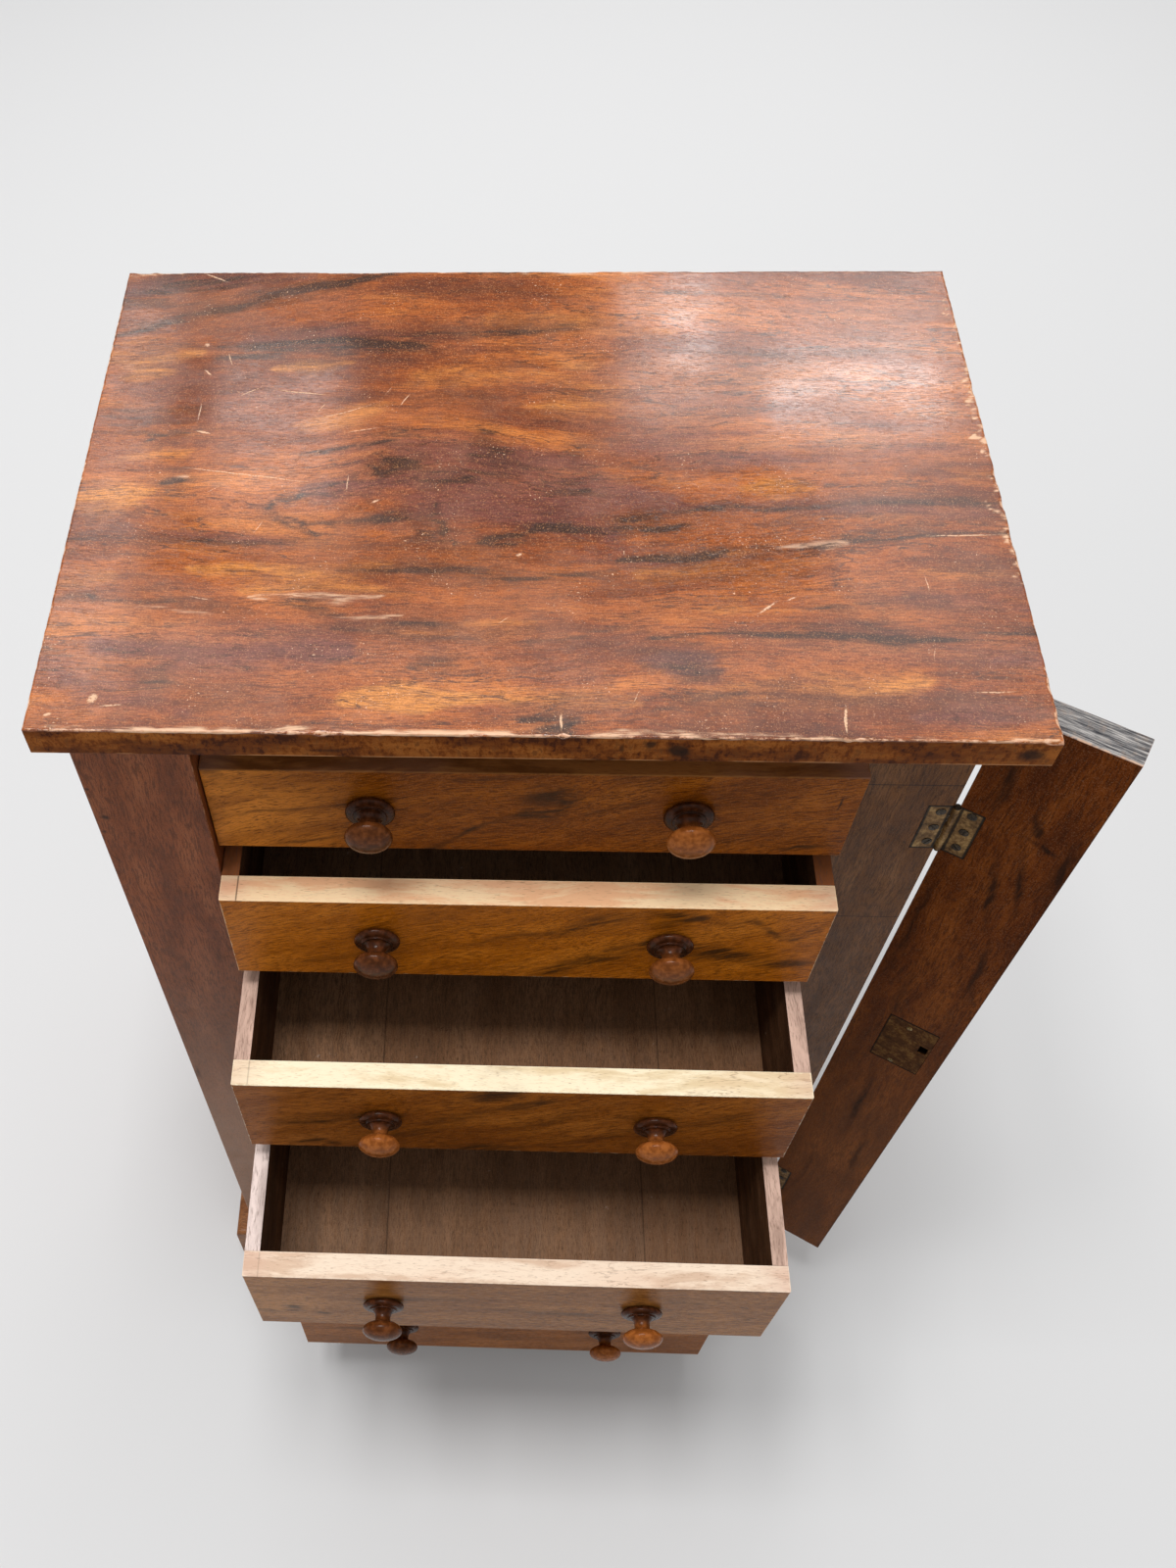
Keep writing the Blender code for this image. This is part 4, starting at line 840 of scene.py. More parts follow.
def aged_brass(node):
    """Tarnished brass: dull brown, yellow where rubbed, near black with painted shade at its ends, along the
    leaves' outer edges and beside the barrel, and browner on the lock, whose near side and receding sides
    carry painted shade.
    """
    finish = Finish(f"{node}_brass")
    low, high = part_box(node)
    on_lock, fixed = node.startswith("lock"), "fixed" in node
    place = finish.place()
    height = finish.part(place, Z_AXIS)
    tarnish = finish.noise(place, 420.0, 6.0, 0.75)
    shade = finish.blended(tarnish, finish.noise(place, 90.0, 3.0, 0.6), 0.5)
    local = place if fixed else finish.mapped(place, FLAP_AXIS, (0.0, 0.0, FLAP_TURN))
    out = finish.apart(FLAP_AXIS[X_AXIS] if fixed else 0.0, finish.part(local, X_AXIS))
    from_top = finish.math("SUBTRACT", high.z, height)
    from_foot = finish.math("SUBTRACT", height, low.z)
    # Painted shade: dark at each piece's top and foot ends, where its gaps fall dark
    ends = (PAINTED_GAP_SHADE, finish.math("MINIMUM", from_top, from_foot), 0.0020, 0.0009, 0.92)
    if on_lock:
        specular, metallic = 0.03, 0.0
        colour = finish.layers(
            finish.ramp(shade, (0.38, 0.50, 0.64), tones((58, 32, 12), (86, 52, 22), (136, 98, 52))),
            ends,
            # Painted shade: a dark outline along the lock plate's near side, and its receding sides near
            # black
            (tone(20, 13, 7), out, LOCK_NEAR + 0.0014, LOCK_NEAR + 0.0005, 0.8),
            (tone(9, 7, 7), finish.part(local, Y_AXIS), LOCK_FACE + 0.0004, LOCK_FACE + 0.0012, 0.95),
        )
    else:
        specular, metallic = 0.15, 0.25
        colour = finish.layers(
            finish.ramp(shade, (0.38, 0.50, 0.62), tones((72, 50, 28), (126, 94, 56), (180, 146, 94))),
            ends,
            # Painted shade: dark along each leaf's outer edge and in a line beside the barrel
            (PAINTED_GAP_SHADE, out, LEAF_REACH - 0.0020, LEAF_REACH - 0.0009, 0.92),
            (PAINTED_GAP_SHADE, finish.apart(out, BARREL_ROOT), 0.0014, 0.0005, 0.9),
        )
    scratch = finish.noise(finish.drawn(place, Z_AXIS, 18.0), 2600.0, 2.0, 0.6)
    roughness = finish.span(tarnish, 0.35, 0.65, 0.55, 0.38)
    relief = finish.bump(finish.plus(tarnish, scratch), 0.00005)
    return finish.done(colour, roughness, relief, specular=specular, metallic=metallic)


def screw_metal(name, *metal):
    """Metal of the screws, from dark rust to rubbed high spots."""
    finish = Finish(name)
    rust = finish.noise(finish.place(), 900.0, 4.0, 0.7)
    colour = finish.ramp(rust, (0.38, 0.52, 0.70), tones(*metal))
    roughness = finish.span(rust, 0.3, 0.7, 0.5, 0.34)
    return finish.done(colour, roughness, finish.bump(rust, 0.00004), metallic=0.7)


# Woods: (dark, middle, light)
STILE = tones((126, 66, 34), (150, 82, 44), (170, 100, 60))
RIGHT_STILE = tones((100, 60, 28), (124, 78, 38), (146, 98, 56))
PLINTH = tones((126, 76, 42), (154, 100, 60), (178, 124, 82))
FRIEZE = tones((70, 30, 12), (92, 44, 20), (112, 58, 26))
DRAWER_SIDE = tones((70, 42, 24), (92, 58, 34), (116, 78, 50))
DRAWER_BOTTOM = tones((110, 72, 44), (128, 87, 56), (144, 102, 70))
BOARD = tones((52, 34, 22), (80, 56, 38), (104, 76, 54))
# Top edges of the drawer sides and backs, paler where hands have rubbed them; the second drawer's are darker,
# partly dark wood and partly painted shade under the top's overhang
SIDE_TOPS = {"drawer_4_side_left": tone(240, 220, 212)}
# The second drawer's side tops are darker, partly dark wood and partly painted shade under the top's overhang
SIDE_TOPS.update({f"drawer_2_side_{hand}": tone(142, 84, 48) for hand in ("left", "right")})
OTHER_TOP = tone(216, 182, 164)
# Dirty nicks of the left stile, as marks
STILE_NICKS = (
    (80, 950, 40, 60, 30, 1.2), (110, 900, 60, 50, 0, 1.0), (50, 965, 50, 60, 0, 1.0),
    (35, 935, 30, 30, 0, 1.2), (60, 880, 30, 30, 0, 1.0), (105, 840, 16, 100, 25, 0.9),
    (30, 700, 40, 120, 0, 0.6), (20, 450, 40, 200, 0, 0.6),
)

# Where the boards of the back and of the drawer bottoms meet, and the right stile's veneer, in metres
BACK_JOINTS = (0.318, 0.552, 0.781)
BOTTOM_JOINTS = (-0.104, 0.118)
STILE_JOINTS = (0.930, 0.762)


def finish_of(node):
    """The finish of one CAD node, made for its own box, or None where a new piece replaces it."""
    drawer = node.startswith("drawer")
    if node == "case_side_left":
        # The last number is how much painted floor sheen the left stile's front carries low down
        return case_walnut("stile_walnut_left", node, Z_AXIS, STILE, 0.6, (), STILE_NICKS, 0.7)
    if node == "case_side_right":
        return case_walnut("stile_walnut_right", node, Z_AXIS, RIGHT_STILE, 0.4, STILE_JOINTS)
    if node == "frieze_rail":
        return case_walnut("frieze_walnut", node, X_AXIS, FRIEZE, 0.2)
    if node == "plinth_frame":
        return case_walnut("plinth_walnut", node, X_AXIS, PLINTH, 0.8)
    if node == "flap_board":
        return flap_walnut()
    if node == "back_panel":
        return lining(node, X_AXIS, BOARD, None, BACK_JOINTS, Z_AXIS)
    if node.startswith(("dust_board", "bottom_board")):
        return lining(node, X_AXIS, BOARD)
    if node.startswith(("hinge", "lock")):
        return aged_brass(node)
    if drawer and node.endswith("_front"):
        return front_walnut(int(node.split("_")[1]))
    if drawer and "_side_" in node:
        return lining(node, Y_AXIS, DRAWER_SIDE, SIDE_TOPS.get(node, OTHER_TOP))
    if drawer and node.endswith("_back"):
        return lining(node, X_AXIS, DRAWER_SIDE, OTHER_TOP)
    if drawer and node.endswith("_bottom"):
        faded = 0.45 if node.startswith("drawer_4") else 0.25
        return lining(node, Y_AXIS, DRAWER_BOTTOM, None, BOTTOM_JOINTS, X_AXIS, faded)
    return None


def dress_all():
    """Puts each CAD node's finish on it."""
    for node, made in NODES.items():
        finish = finish_of(node)
        if finish is not None:
            for slot in made.material_slots:
                slot.material = finish


dress_all()

# Knobs: the same sizes as the turned solids, with finer curves
KNOB_STEPS = 64
# The profile's arcs: (centre's radius and distance, radii, start and end in radians, points)
KNOB_ARCS = (
    ((0.0, 0.0222), (0.0158, 0.0076), pi / 2, -pi / 2 + 0.40, 22),
    ((0.0102, 0.0128), (0.0042, 0.0060), pi, 3 * pi / 2, 10),
    ((0.0104, 0.0062), (0.0008, 0.0007), pi / 2, -pi / 2, 7),
    ((0.0125, 0.0030), (0.0040, 0.0027), pi / 2, -pi / 2, 14),
)
SPIGOT = ((0.0047, 0.0003), (0.0047, -0.014), (0.0, -0.014))


def arc(centre, radii, start, end, steps):
    """Points (radius, distance from the face) of an ellipse's arc: centre plus radii times cos and sin."""
    angle = np.linspace(start, end, steps)
    return np.stack([centre[0] + radii[0] * np.cos(angle), centre[1] + radii[1] * np.sin(angle)], axis=-1)


def knob_profile():
    """Joined arcs from the tip to the spigot: flattened ball, waisted neck, ring and rolled rose."""
    return np.concatenate([arc(*shape) for shape in KNOB_ARCS] + [np.array(SPIGOT)])


def knob(node):
    """A turned knob: the profile carried round an axis that stands on the drawer's front."""
    low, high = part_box(node)
    profile = knob_profile()
    radius, reach = profile[1:-1].T
    angle = np.linspace(0.0, 2 * pi, KNOB_STEPS, endpoint=False)
    face_y = low.y + profile[0, 1]
    centre_x, centre_z = (low.x + high.x) / 2, (low.z + high.z) / 2
    points = np.stack(
        [
            centre_x + radius[:, None] * np.cos(angle),
            np.broadcast_to(face_y - reach[:, None], (len(radius), KNOB_STEPS)),
            centre_z + radius[:, None] * np.sin(angle),
        ],
        axis=-1,
    )
    tip = np.array([[centre_x, face_y - profile[0, 1], centre_z]])
    end = np.array([[centre_x, face_y - profile[-1, 1], centre_z]])
    faces = ring_faces(len(radius), KNOB_STEPS)
    last = len(radius) * KNOB_STEPS
    column = np.arange(KNOB_STEPS)
    after = (column + 1) % KNOB_STEPS
    faces += [(last, int(b), int(a)) for a, b in zip(column, after)]
    back = last - KNOB_STEPS
    faces += [(last + 1, int(back + a), int(back + b)) for a, b in zip(column, after)]
    points = np.concatenate([points.reshape(-1, 3), tip, end])
    made = mesh_object(node.replace("knob", "turned_knob"), points, faces)
    share = np.concatenate([np.repeat(1 - np.arange(len(radius)) / len(radius), KNOB_STEPS), [1.0, 0.0]])
    turn = np.concatenate([np.tile(np.arange(KNOB_STEPS) / KNOB_STEPS, len(radius)), [0.0, 0.0]])
    chart = made.data.uv_layers.new(name="turning")
    corners = np.zeros(len(made.data.loops), np.int32)
    made.data.loops.foreach_get("vertex_index", corners)
    chart.data.foreach_set("uv", np.stack([turn[corners], share[corners]], axis=-1).reshape(-1))
    made.data.shade_smooth()
    return made


def all_knobs():
    """Twelve knobs in place of the plain turned solids."""
    wood = knob_wood()
    for node in NODES:
        if "_knob_" in node:
            made = knob(node)
            made.data.materials.append(wood)
            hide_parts(node)
            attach(made, BODY_OF[node])


all_knobs()

# Figure of the top: polylines, each (strength, half width, points as across and deep in turn)
TOP_DARK = (
    (0.9, 40, (0, 832, 60, 865, 120, 900, 200, 945, 330, 995)), (0.6, 60, (0, 930, 80, 965, 140, 990)),
    (0.6, 30, (100, 885, 180, 930, 260, 965)), (0.35, 180, (0, 900, 120, 950, 280, 990)),
    (0.6, 90, (140, 770, 220, 790, 300, 800, 400, 825, 580, 860)), (0.45, 60, (140, 800, 260, 815, 380, 800)),
    (0.5, 70, (20, 640, 60, 625, 120, 645)), (0.6, 22, (60, 575, 120, 600, 160, 605)),
    (1.3, 42, (95, 478, 115, 482)), (0.9, 18, (250, 540, 300, 565, 340, 575)),
    (0.6, 45, (310, 560, 335, 575, 350, 600)), (0.8, 55, (352, 535, 368, 520)),
    (0.6, 70, (330, 515, 345, 490)), (1.0, 30, (370, 490, 400, 482, 430, 487)),
    (0.6, 50, (380, 505, 420, 500, 460, 510, 500, 515)), (0.7, 65, (435, 542, 475, 552)),
    (0.6, 35, (440, 600, 455, 595)), (0.9, 55, (538, 545, 558, 540)), (0.8, 45, (530, 475, 565, 465)),
    (0.8, 28, (300, 490, 260, 465, 225, 435, 213, 410, 250, 385, 275, 360)),
    (0.6, 22, (235, 400, 300, 400, 360, 405)), (0.9, 26, (398, 440, 396, 420, 403, 380, 408, 350)),
    (0.7, 35, (330, 405, 360, 410, 400, 400)), (0.6, 55, (365, 388, 390, 360)),
    (1.3, 35, (455, 360, 490, 380, 520, 388, 550, 375, 600, 385, 660, 392)),
    (1.2, 50, (500, 392, 525, 390, 550, 380)), (0.5, 24, (400, 340, 460, 350, 500, 365)),
    (0.9, 26, (600, 330, 660, 326, 700, 340, 800, 360, 870, 373, 1000, 380)),
    (1.0, 34, (600, 325, 650, 322, 700, 338)), (0.8, 24, (300, 300, 400, 300, 440, 292, 500, 288, 580, 297)),
    (0.45, 60, (0, 360, 100, 365, 180, 355, 260, 360)),
    (0.55, 60, (680, 430, 760, 425, 840, 440, 950, 445, 1000, 440)),
    (0.45, 80, (600, 400, 640, 420, 700, 425)),
    (1.0, 35, (620, 180, 680, 185, 800, 187, 840, 183, 870, 178, 930, 183, 1000, 190)),
    (0.8, 40, (840, 183, 875, 177)), (0.6, 40, (790, 235, 840, 245, 920, 252)),
    (0.5, 90, (600, 130, 640, 120, 680, 115)), (0.5, 32, (50, 240, 120, 232, 200, 232)),
    (0.8, 40, (255, 235, 280, 228, 300, 218)), (0.6, 22, (300, 200, 400, 198, 440, 200)),
    (0.8, 50, (112, 80, 138, 82)), (0.7, 32, (375, 115, 420, 125)), (1.0, 60, (500, 22, 540, 10)),
    (0.5, 16, (300, 185, 450, 165, 550, 175, 620, 190)), (0.4, 40, (0, 235, 50, 245)),
    (0.5, 22, (600, 40, 640, 55, 700, 75)), (0.4, 26, (520, 930, 660, 940, 800, 930)),
    (0.35, 40, (550, 770, 680, 790, 800, 780, 950, 800)),
)
TOP_GOLD = (
    (1.2, 60, (320, 58, 370, 62, 420, 56)), (0.9, 200, (0, 780, 50, 785, 100, 790)),
    (0.5, 100, (20, 720, 80, 735)), (0.9, 200, (0, 430, 40, 440, 70, 460)), (0.5, 120, (0, 270, 60, 285)),
    (0.9, 90, (140, 300, 220, 295, 300, 300, 360, 310)), (0.6, 80, (200, 260, 300, 262, 380, 250)),
    (1.5, 80, (310, 62, 360, 67, 400, 62, 440, 58)), (0.9, 100, (440, 60, 520, 55, 600, 60)),
    (0.9, 140, (660, 75, 740, 85, 820, 80, 880, 100)), (0.7, 160, (620, 290, 680, 305, 750, 300, 800, 325)),
    (0.6, 100, (600, 220, 680, 230, 720, 250)), (0.9, 100, (730, 470, 770, 470, 810, 475)),
    (0.6, 80, (840, 410, 900, 420)), (0.6, 100, (940, 500, 1000, 505)),
    (0.8, 160, (450, 870, 520, 860, 600, 845, 660, 830)), (0.9, 60, (200, 745, 250, 750, 290, 765)),
    (0.7, 220, (500, 650, 550, 660, 600, 690)), (0.6, 180, (360, 720, 450, 740, 560, 750)),
    (0.6, 140, (240, 600, 280, 620, 330, 660)), (0.6, 120, (40, 530, 110, 545)),
    (0.6, 100, (330, 185, 420, 180, 500, 200)), (0.6, 50, (210, 445, 270, 455)),
    (0.4, 120, (300, 930, 420, 950, 600, 950)), (0.4, 100, (900, 300, 1000, 310)),
)
TOP_MAUVE = (
    (0.8, 340, (270, 470, 340, 530, 440, 540, 560, 500)), (0.6, 260, (340, 400, 460, 410, 580, 380)),
    (0.9, 200, (60, 150, 160, 145, 260, 140, 310, 150)), (0.7, 160, (0, 120, 60, 70, 160, 30)),
    (0.7, 180, (0, 950, 100, 970, 220, 990)), (0.9, 160, (450, 460, 520, 440, 600, 450, 660, 440)),
    (0.6, 140, (460, 420, 400, 470, 340, 480)), (1.1, 130, (610, 125, 680, 120)),
    (0.7, 180, (700, 180, 850, 160, 1000, 150)), (0.7, 120, (830, 250, 1000, 240)),
    (0.7, 100, (680, 430, 850, 440, 1000, 430)), (0.6, 220, (600, 560, 750, 550, 900, 570, 1000, 550)),
    (0.5, 100, (120, 370, 250, 350)), (0.7, 140, (580, 360, 620, 320, 550, 330)),
    (0.6, 100, (860, 30, 1000, 50)), (0.5, 160, (160, 820, 300, 830, 450, 800)),
)
TOP_PALE = (
    (0.65, 26, (215, 250, 250, 245, 300, 240, 350, 250)), (0.55, 22, (290, 212, 330, 208, 370, 212)),
    (0.9, 20, (98, 491, 115, 493)), (0.5, 14, (100, 225, 160, 215, 200, 200)),
    (0.5, 34, (760, 352, 830, 362)), (0.4, 30, (950, 500, 1000, 500)),
    (1.0, 18, (996, 280, 994, 360, 990, 400, 992, 440, 996, 500)),
    (1.0, 22, (996, 550, 993, 620, 995, 700, 996, 840, 995, 960)), (0.5, 16, (300, 997, 550, 995, 900, 996)),
    # The last line, along the front of the upper arris, is pale wear and partly a painted highlight
    (0.7, 18, (4, 990, 20, 995, 60, 996)), (1.0, 17, (0, 4, 300, 3, 600, 4, 1000, 4)),
)


# Bends of the grain: (rise in metres, then in shares centre across and deep, reach left, right and deep)
BENDS = (
    (0.042, 0.34, 1.02, 0.22, 0.60, 0.24), (0.016, 0.36, 0.57, 0.11, 0.15, 0.10),
    (-0.014, 0.52, 0.30, 0.30, 0.28, 0.09), (0.008, 0.12, 0.74, 0.12, 0.12, 0.08),
    (0.012, 0.98, 0.46, 0.36, 0.30, 0.13), (0.006, 0.70, 0.16, 0.20, 0.20, 0.08),
    (-0.006, 0.20, 0.38, 0.14, 0.16, 0.07),
)


def bent(points, low, size):
    """The place along and across the grain: each bend lifts it by rise * exp(-u^2 - v^2) about its centre."""
    lift = np.zeros(len(points))
    for rise, across, deep, left, right, reach in BENDS:
        along = (points[:, 0] - low[0]) / size[0] - across
        along = along / np.where(along < 0, left, right)
        away = ((points[:, 1] - low[1]) / size[1] - deep) / reach
        lift += rise * np.exp(-(along**2) - away**2)
    return np.stack([points[:, 0], points[:, 1] - lift], axis=-1)


def waves(points, wavelength, seed, count=24):
    """Smooth noise in the plane, about -1 to 1: the sum of plane waves of random length, way and phase."""
    random = np.random.default_rng(seed)
    turn, phase = random.uniform(0.0, 2 * pi, (2, count))
    pitch = 2 * pi / (wavelength * random.uniform(0.6, 1.6, count))
    ripples = np.sin(points @ np.stack([np.cos(turn), np.sin(turn)]) * pitch + phase)
    return ripples.sum(axis=1) / np.sqrt(2 * count)


# How wide a polyline is at its ends, next to its middle
END_WIDTH = 0.45


def line_figure(points, figure, low, size, spread=1.0):
    """The sum over the polylines of strength times exp(-(distance / half width)^2), thinner at the ends."""
    total = np.zeros(len(points))
    for strength, half_width, corners in figure:
        path = low + np.array(corners).reshape(-1, 2) / THOUSAND * size
        nearest = np.full(len(points), np.inf)
        along = np.zeros(len(points))
        for number, (start, end) in enumerate(zip(path[:-1], path[1:])):
            run = end - start
            share = np.clip((points - start) @ run / (run @ run), 0.0, 1.0)
            away = np.linalg.norm(points - start - share[:, None] * run, axis=1)
            along = np.where(away < nearest, (number + share) / (len(path) - 1), along)
            nearest = np.minimum(away, nearest)
        drawn_in = half_width / TENTHS_IN_METRE * spread
        drawn_in = drawn_in * (END_WIDTH + (1 - END_WIDTH) * np.sin(pi * along))
        total += strength * np.exp(-((nearest / drawn_in) ** 2))
    return total


# Top board: the plain board with its arrises worn away, and a fine grid on top that carries the figure
TOP_ARRIS = 0.0010
UNDER_ARRIS = 0.8 * TOP_ARRIS
GRID_ACROSS, GRID_DEEP = 320, 230
ROUND_STEPS = 6
# Insets of the grid and of the underside, and the flat bands beside the upper round, in metres
GRID_INSET = 0.0052
UNDER_INSET = 0.004
FLAT_BAND = 0.0006
RADIUS_RANGE = (0.0006, 0.0026)
# Wear round the rim: (seed, waves, finest wave in metres, least, most, metres per unit)
RIM_WEAR = ((3, 60, 0.012, -1.0, 2.0, 0.00022), (4, 160, 0.006, 0.0, 2.5, 0.00018))
# How bare the six rings of the upper round are, next to the barest
RING_BARE = (0.3, 0.7, 1.0, 1.0, 0.8, 0.4)
# Bareness of a plain arris, the least, and how many metres more radius bare it fully
PLAIN_BARE, LEAST_BARE, BARE_GROWTH = 0.62, 0.3, 0.0012
# Wandering of the figure: (wavelength, seeds, shift across and deep), in metres, drawn out across
WANDER = ((0.022, (11, 12), (0.006, 0.0022)), (0.007, (13, 14), (0.003, 0.0009)))
WANDER_STRETCH = (0.35, 1.0)
# The dark lines are drawn twice, thin, and wide but weaker
THIN_SPREAD = 0.9
SMOKY_SPREAD, SMOKY_SHARE = 2.8, 0.60
SHARP_ANGLE = radians(50)
# Chips out of the upper arris: (place along the rim in metres from the front left corner, half width, depth)
CHIPS = (
    (0.176, 0.004, 0.0024), (0.316, 0.003, 0.0014), (0.479, 0.003, 0.0012), (0.596, 0.006, 0.0034),
    (0.615, 0.006, 0.0024), (0.640, 0.007, 0.0016), (0.760, 0.010, 0.0018), (0.790, 0.006, 0.0018),
    (0.815, 0.008, 0.0024), (0.900, 0.006, 0.0016), (1.050, 0.010, 0.0010), (1.200, 0.016, 0.0012),
    (1.300, 0.020, 0.0012), (1.460, 0.030, 0.0012), (1.600, 0.010, 0.0014), (1.620, 0.008, 0.0018),
)


def rim_noise(along, length, seed, count, finest):
    """Smooth closed noise round the rim: a sum of sine waves of random phase, with whole numbers of turns."""
    random = np.random.default_rng(seed)
    turns = random.integers(3, int(length / finest), count)
    phases = random.uniform(0.0, 2 * pi, count)
    return np.sin(2 * pi * turns[:, None] * along / length + phases[:, None]).sum(axis=0) / np.sqrt(count / 2)


def worn_top():
    """The top board: a grid on top, then rings carried round its rim, drawn in where it is worn or chipped.

    A point at place s of the rim has the inset d and height z of the profile: flat top, quarter round of
    radius r(s), side, quarter round, flat underside. r(s) is the plain radius plus noise and chips.
    """
    low, high = np.array(TOP_LOW), np.array(TOP_HIGH)
    size = high[:2] - low[:2]
    across = np.arange(GRID_ACROSS + 1)
    deep = np.arange(GRID_DEEP + 1)
    front = [(i, 0) for i in across[:-1]]
    right = [(GRID_ACROSS, j) for j in deep[:-1]]
    back = [(i, GRID_DEEP) for i in across[:0:-1]]
    left = [(0, j) for j in deep[:0:-1]]
    rim = np.array(front + right + back + left)
    rim_place = low[:2] + rim / (GRID_ACROSS, GRID_DEEP) * size
    steps = np.linalg.norm(np.diff(rim_place, axis=0), axis=1)
    along = np.concatenate([[0.0], np.cumsum(steps)])
    length = 2 * size.sum()
    wear = np.zeros(len(rim))
    for seed, count, finest, least, most, scale in RIM_WEAR:
        wear += np.clip(rim_noise(along, length, seed, count, finest), least, most) * scale
    for place, half, bite in CHIPS:
        away = np.abs((along - place + length / 2) % length - length / 2)
        wear += bite * np.clip(1.0 - (away / half) ** 2, 0.0, 1.0)
    radius = np.clip(TOP_ARRIS + wear, *RADIUS_RANGE)
    under = np.full_like(radius, UNDER_ARRIS)
    columns = len(rim)
    turn = np.linspace(0.0, pi / 2, ROUND_STEPS)[:, None]
    inset = np.concatenate(
        [
            (radius + FLAT_BAND)[None],
            radius * (1 - np.sin(turn)),
            np.zeros((1, columns)),
            under * (1 - np.sin(turn[::-1])),
            np.full((1, columns), UNDER_INSET),
        ]
    )
    height = np.concatenate(
        [
            np.full((1, columns), high[2]),
            high[2] - radius * (1 - np.cos(turn)),
            (high[2] - radius - FLAT_BAND)[None],
            low[2] + under * (1 - np.cos(turn[::-1])),
            np.full((1, columns), low[2]),
        ]
    )
    middle, half = (low[:2] + high[:2]) / 2, size / 2
    flat = middle + (rim_place - middle) * ((half - inset[..., None]) / half)
    rings = np.concatenate([flat, height[..., None]], axis=-1)
    grid_x, grid_y = np.meshgrid(across / GRID_ACROSS, deep / GRID_DEEP)
    grid = low[:2] + GRID_INSET + np.stack([grid_x, grid_y], axis=-1) * (size - 2 * GRID_INSET)
    grid = np.concatenate([grid, np.full((*grid_x.shape, 1), high[2])], axis=-1).reshape(-1, 3)
    row_length = GRID_ACROSS + 1
    cell = (deep[:-1, None] * row_length + across[None, :-1]).reshape(-1)
    faces = np.stack([cell, cell + 1, cell + 1 + row_length, cell + row_length], axis=-1).tolist()
    border = rim[:, 1] * row_length + rim[:, 0]
    first = len(grid)
    after = np.roll(np.arange(columns), -1)
    faces += np.stack([border, first + np.arange(columns), first + after, border[after]], axis=-1).tolist()
    faces += [face[::-1] for face in ring_faces(len(rings), columns, first)]
    last = first + (len(rings) - 1) * columns
    faces.append(tuple(range(last + columns - 1, last - 1, -1)))
    points = np.concatenate([grid, rings.reshape(-1, 3)])
    made = mesh_object("worn_top", points, faces)
    plane = points[:, :2]
    drawn = plane * WANDER_STRETCH
    moved = plane.copy()
    for wavelength, seeds, shift in WANDER:
        moved += np.stack([waves(drawn, wavelength, seed) for seed in seeds], axis=-1) * shift
    for name, figure in (("gold", TOP_GOLD), ("mauve", TOP_MAUVE), ("pale", TOP_PALE)):
        carry(made, name, line_figure(moved, figure, low[:2], size))
    thin = line_figure(moved, TOP_DARK, low[:2], size, THIN_SPREAD)
    smoky = line_figure(moved, TOP_DARK, low[:2], size, SMOKY_SPREAD)
    carry(made, "dark", thin + SMOKY_SHARE * smoky)
    flow = made.data.attributes.new("flow", "FLOAT_VECTOR", "POINT")
    flown = np.column_stack([bent(plane, low[:2], size), points[:, 2]])
    flow.data.foreach_set("vector", flown.astype(np.float32).reshape(-1))
    bare = np.clip(PLAIN_BARE + (radius - TOP_ARRIS) / BARE_GROWTH, LEAST_BARE, 1.0)
    worn = np.zeros(rings.shape[:2])
    worn[1:ROUND_STEPS + 1] = bare * np.array(RING_BARE)[:, None]
    carry(made, "worn", np.concatenate([np.zeros(first), worn.reshape(-1)]))
    made.data.materials.append(top_walnut())
    made.data.materials.append(top_edge())
    edge_start = len(cell) + columns * (ROUND_STEPS + 2)
    made.data.polygons.foreach_set("material_index", (np.arange(len(faces)) >= edge_start).astype(np.int32))
    made.data.shade_smooth()
    made.data.set_sharp_from_angle(angle=SHARP_ANGLE)
    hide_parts("top_board")
    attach(made, "case")


def carry(made, name, values):
    """Puts one number per point on a mesh."""
    attribute = made.data.attributes.new(name, "FLOAT", "POINT")
    attribute.data.foreach_set("value", values.astype(np.float32))


worn_top()

# Screws: (centre across, centre up, slot turn in degrees) on each plate, seen square on
SCREW_PROUD = 0.0004
SCREW_DOME = 0.0003
SLOT_HALF = 0.00045
SLOT_DEPTH = 0.0004
HEAD_DEPTH = 0.0008
# Columns from a head's middle to its edge, the share of the radius they reach, and points per column
HEAD_COLUMNS, HEAD_REACH, COLUMN_POINTS = 9, 0.995, 17
# The slot's walls lean out by this much, and no other column stands nearer, in half widths
SLOT_LEAN, SLOT_CLEAR = 1.05, 1.5
HINGE_SCREW_RADIUS = 0.0034
LOCK_SCREW_RADIUS = 0.0024
STILE_FACE = 0.025
FLAP_FACE = 0.0005
CASE_SCREWS = ((0.27575, 0.9003, 15), (0.27575, 0.8822, 40), (0.27575, 0.8653, -35))
FLAP_SCREWS = ((0.0108, 0.9025, 20), (0.0108, 0.8840, -10), (0.0108, 0.8663, 50))
LOCK_SCREWS = ((0.0452, 0.6205, 30), (0.0445, 0.5595, -20))
# The lower hinge's screws lie this many metres lower, turned on by this many degrees
LOWER_HINGE_DROP = 0.660
LOWER_HINGE_TURN = 25


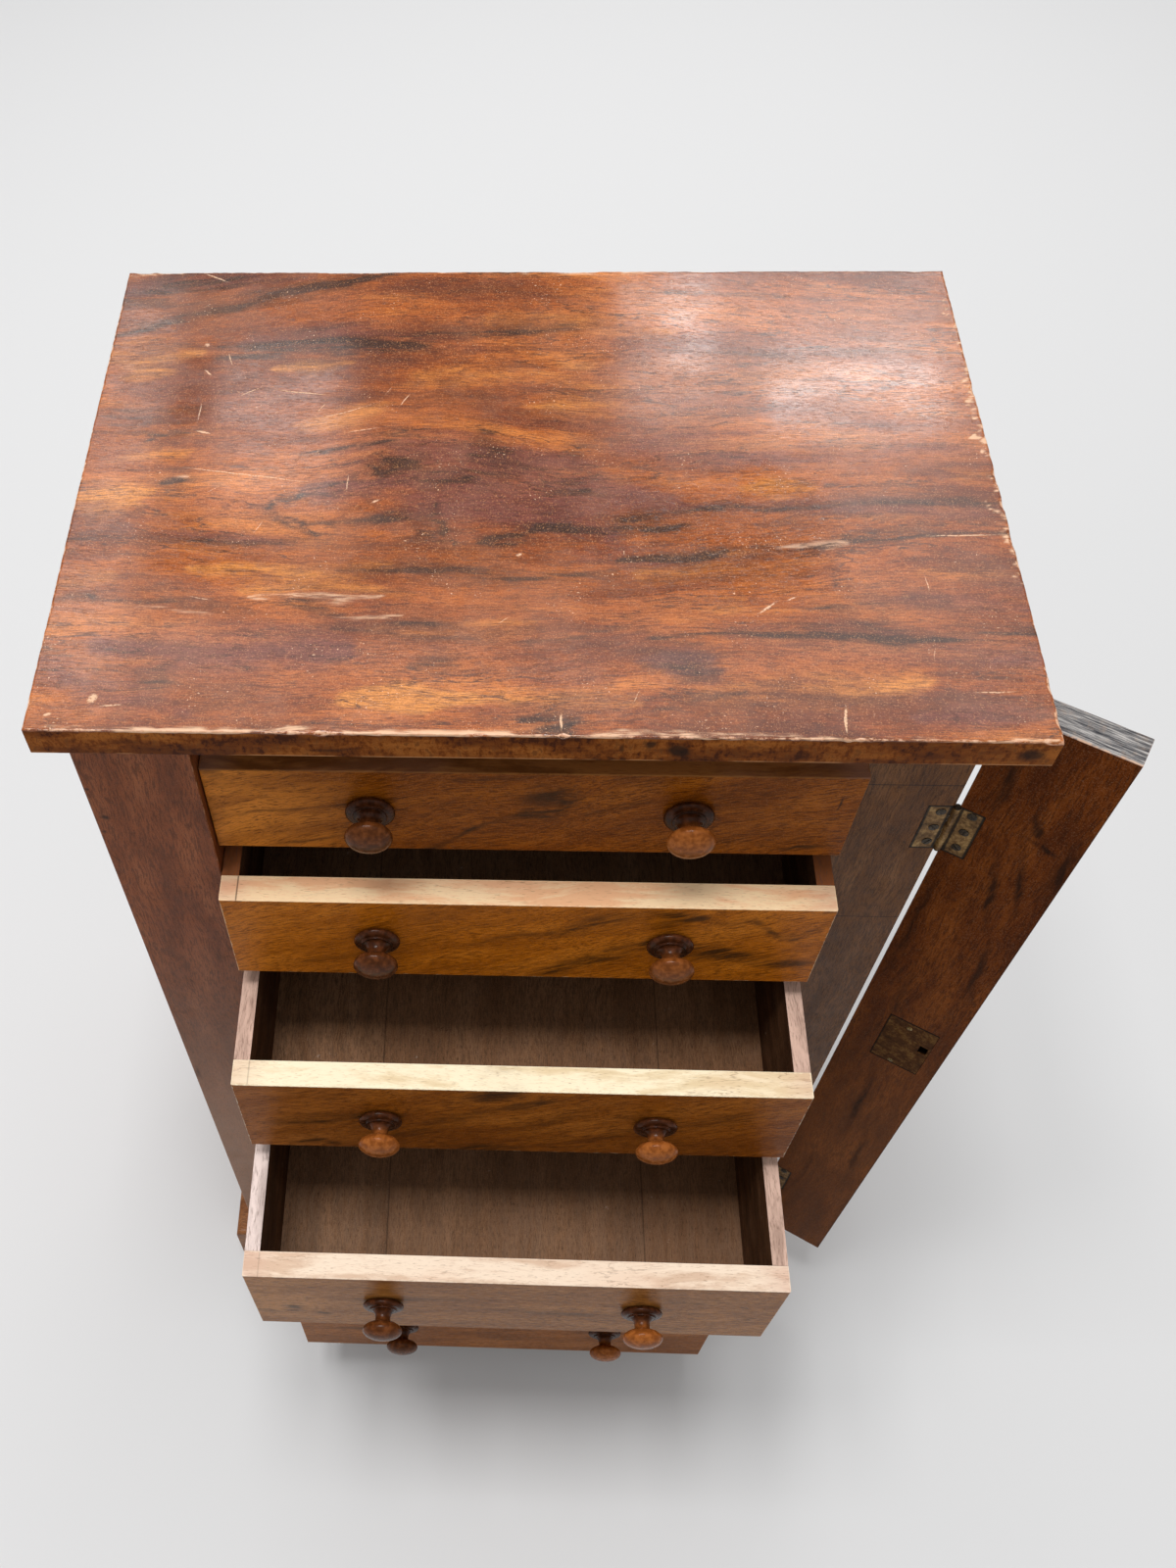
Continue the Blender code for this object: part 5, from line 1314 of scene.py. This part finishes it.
def slotted_head(radius, turn):
    """A screw head about the origin, facing -Y: columns across a disc, sunk where they meet the slot.

    The column at x runs from z = -sqrt(r^2 - x^2) to +sqrt(r^2 - x^2). The face stands proud of the plate
    by a rim and a dome, dome * (1 - (x^2 + z^2) / r^2), and the slot's columns lie its depth lower.
    """
    outer = radius * np.sin(np.linspace(0.0, pi / 2, HEAD_COLUMNS)[1:]) * HEAD_REACH
    outer = outer[outer > SLOT_HALF * SLOT_CLEAR]
    edge = np.array([SLOT_HALF, SLOT_HALF * SLOT_LEAN])
    column = np.concatenate([-outer[::-1], -edge[::-1], edge, outer])
    sunk = np.abs(column) <= SLOT_HALF
    up = np.sqrt(radius**2 - column**2)[:, None] * np.linspace(-1.0, 1.0, COLUMN_POINTS)
    across = np.broadcast_to(column[:, None], up.shape)
    dome = SCREW_DOME * (1 - (across**2 + up**2) / radius**2)
    face = SCREW_PROUD + dome - np.where(sunk, SLOT_DEPTH, 0.0)[:, None]
    back = np.full(up.shape, -HEAD_DEPTH)
    angle = radians(turn)
    turned_x = across * cos(angle) - up * sin(angle)
    turned_z = across * sin(angle) + up * cos(angle)
    layers = [np.stack([turned_x, -reach, turned_z], axis=-1).reshape(-1, 3) for reach in (face, back)]
    rows, columns = up.shape
    cell = (np.arange(rows - 1)[:, None] * columns + np.arange(columns - 1)).reshape(-1)
    grid = np.stack([cell, cell + columns, cell + columns + 1, cell + 1], axis=-1)
    there = [(i, 0) for i in range(rows)] + [(rows - 1, j) for j in range(1, columns)]
    back_again = [(i, columns - 1) for i in range(rows - 2, -1, -1)]
    back_again += [(0, j) for j in range(columns - 2, 0, -1)]
    border = np.array([i * columns + j for i, j in there + back_again])
    after = np.roll(border, -1)
    under = rows * columns
    skirt = np.stack([border, border + under, after + under, after], axis=-1)
    return np.concatenate(layers), np.concatenate([grid, grid[:, ::-1] + under, skirt])


def screws(name, body, radius, places, face, to_world, metal):
    """Screw heads of one kind on one body, as one mesh of closed heads."""
    points, faces, count = [], [], 0
    for across, up, turn in places:
        head, sides = slotted_head(radius, turn)
        points.append(to_world(head + (across, face, up)))
        faces += (sides + count).tolist()
        count += len(head)
    made = mesh_object(name, np.concatenate(points), faces)
    made.data.materials.append(metal)
    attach(made, body)


def with_lower(places):
    """The screws of the upper hinge and of the lower one."""
    lower = [(across, up - LOWER_HINGE_DROP, turn + LOWER_HINGE_TURN) for across, up, turn in places]
    return places + tuple(lower)


def on_case(points):
    """Points of the case are in the world as they are."""
    return points


def on_flap(points):
    """From the flap's own directions (along it, into it, up) to the world."""
    return points @ np.array(Matrix.Rotation(FLAP_TURN, 3, "Z")).T + np.array(FLAP_AXIS)


def all_screws():
    """The screws of both hinges and of the lock."""
    dark = screw_metal("dark_steel", (26, 22, 18), (54, 44, 34), (104, 88, 62))
    bright = screw_metal("rubbed_brass", (70, 54, 30), (128, 104, 60), (200, 168, 104))
    hinge = HINGE_SCREW_RADIUS
    screws("hinge_screws_case", "case", hinge, with_lower(CASE_SCREWS), STILE_FACE, on_case, dark)
    screws("hinge_screws_flap", "flap", hinge, with_lower(FLAP_SCREWS), FLAP_FACE, on_flap, dark)
    screws("lock_screws", "flap", LOCK_SCREW_RADIUS, LOCK_SCREWS, FLAP_FACE, on_flap, bright)


all_screws()
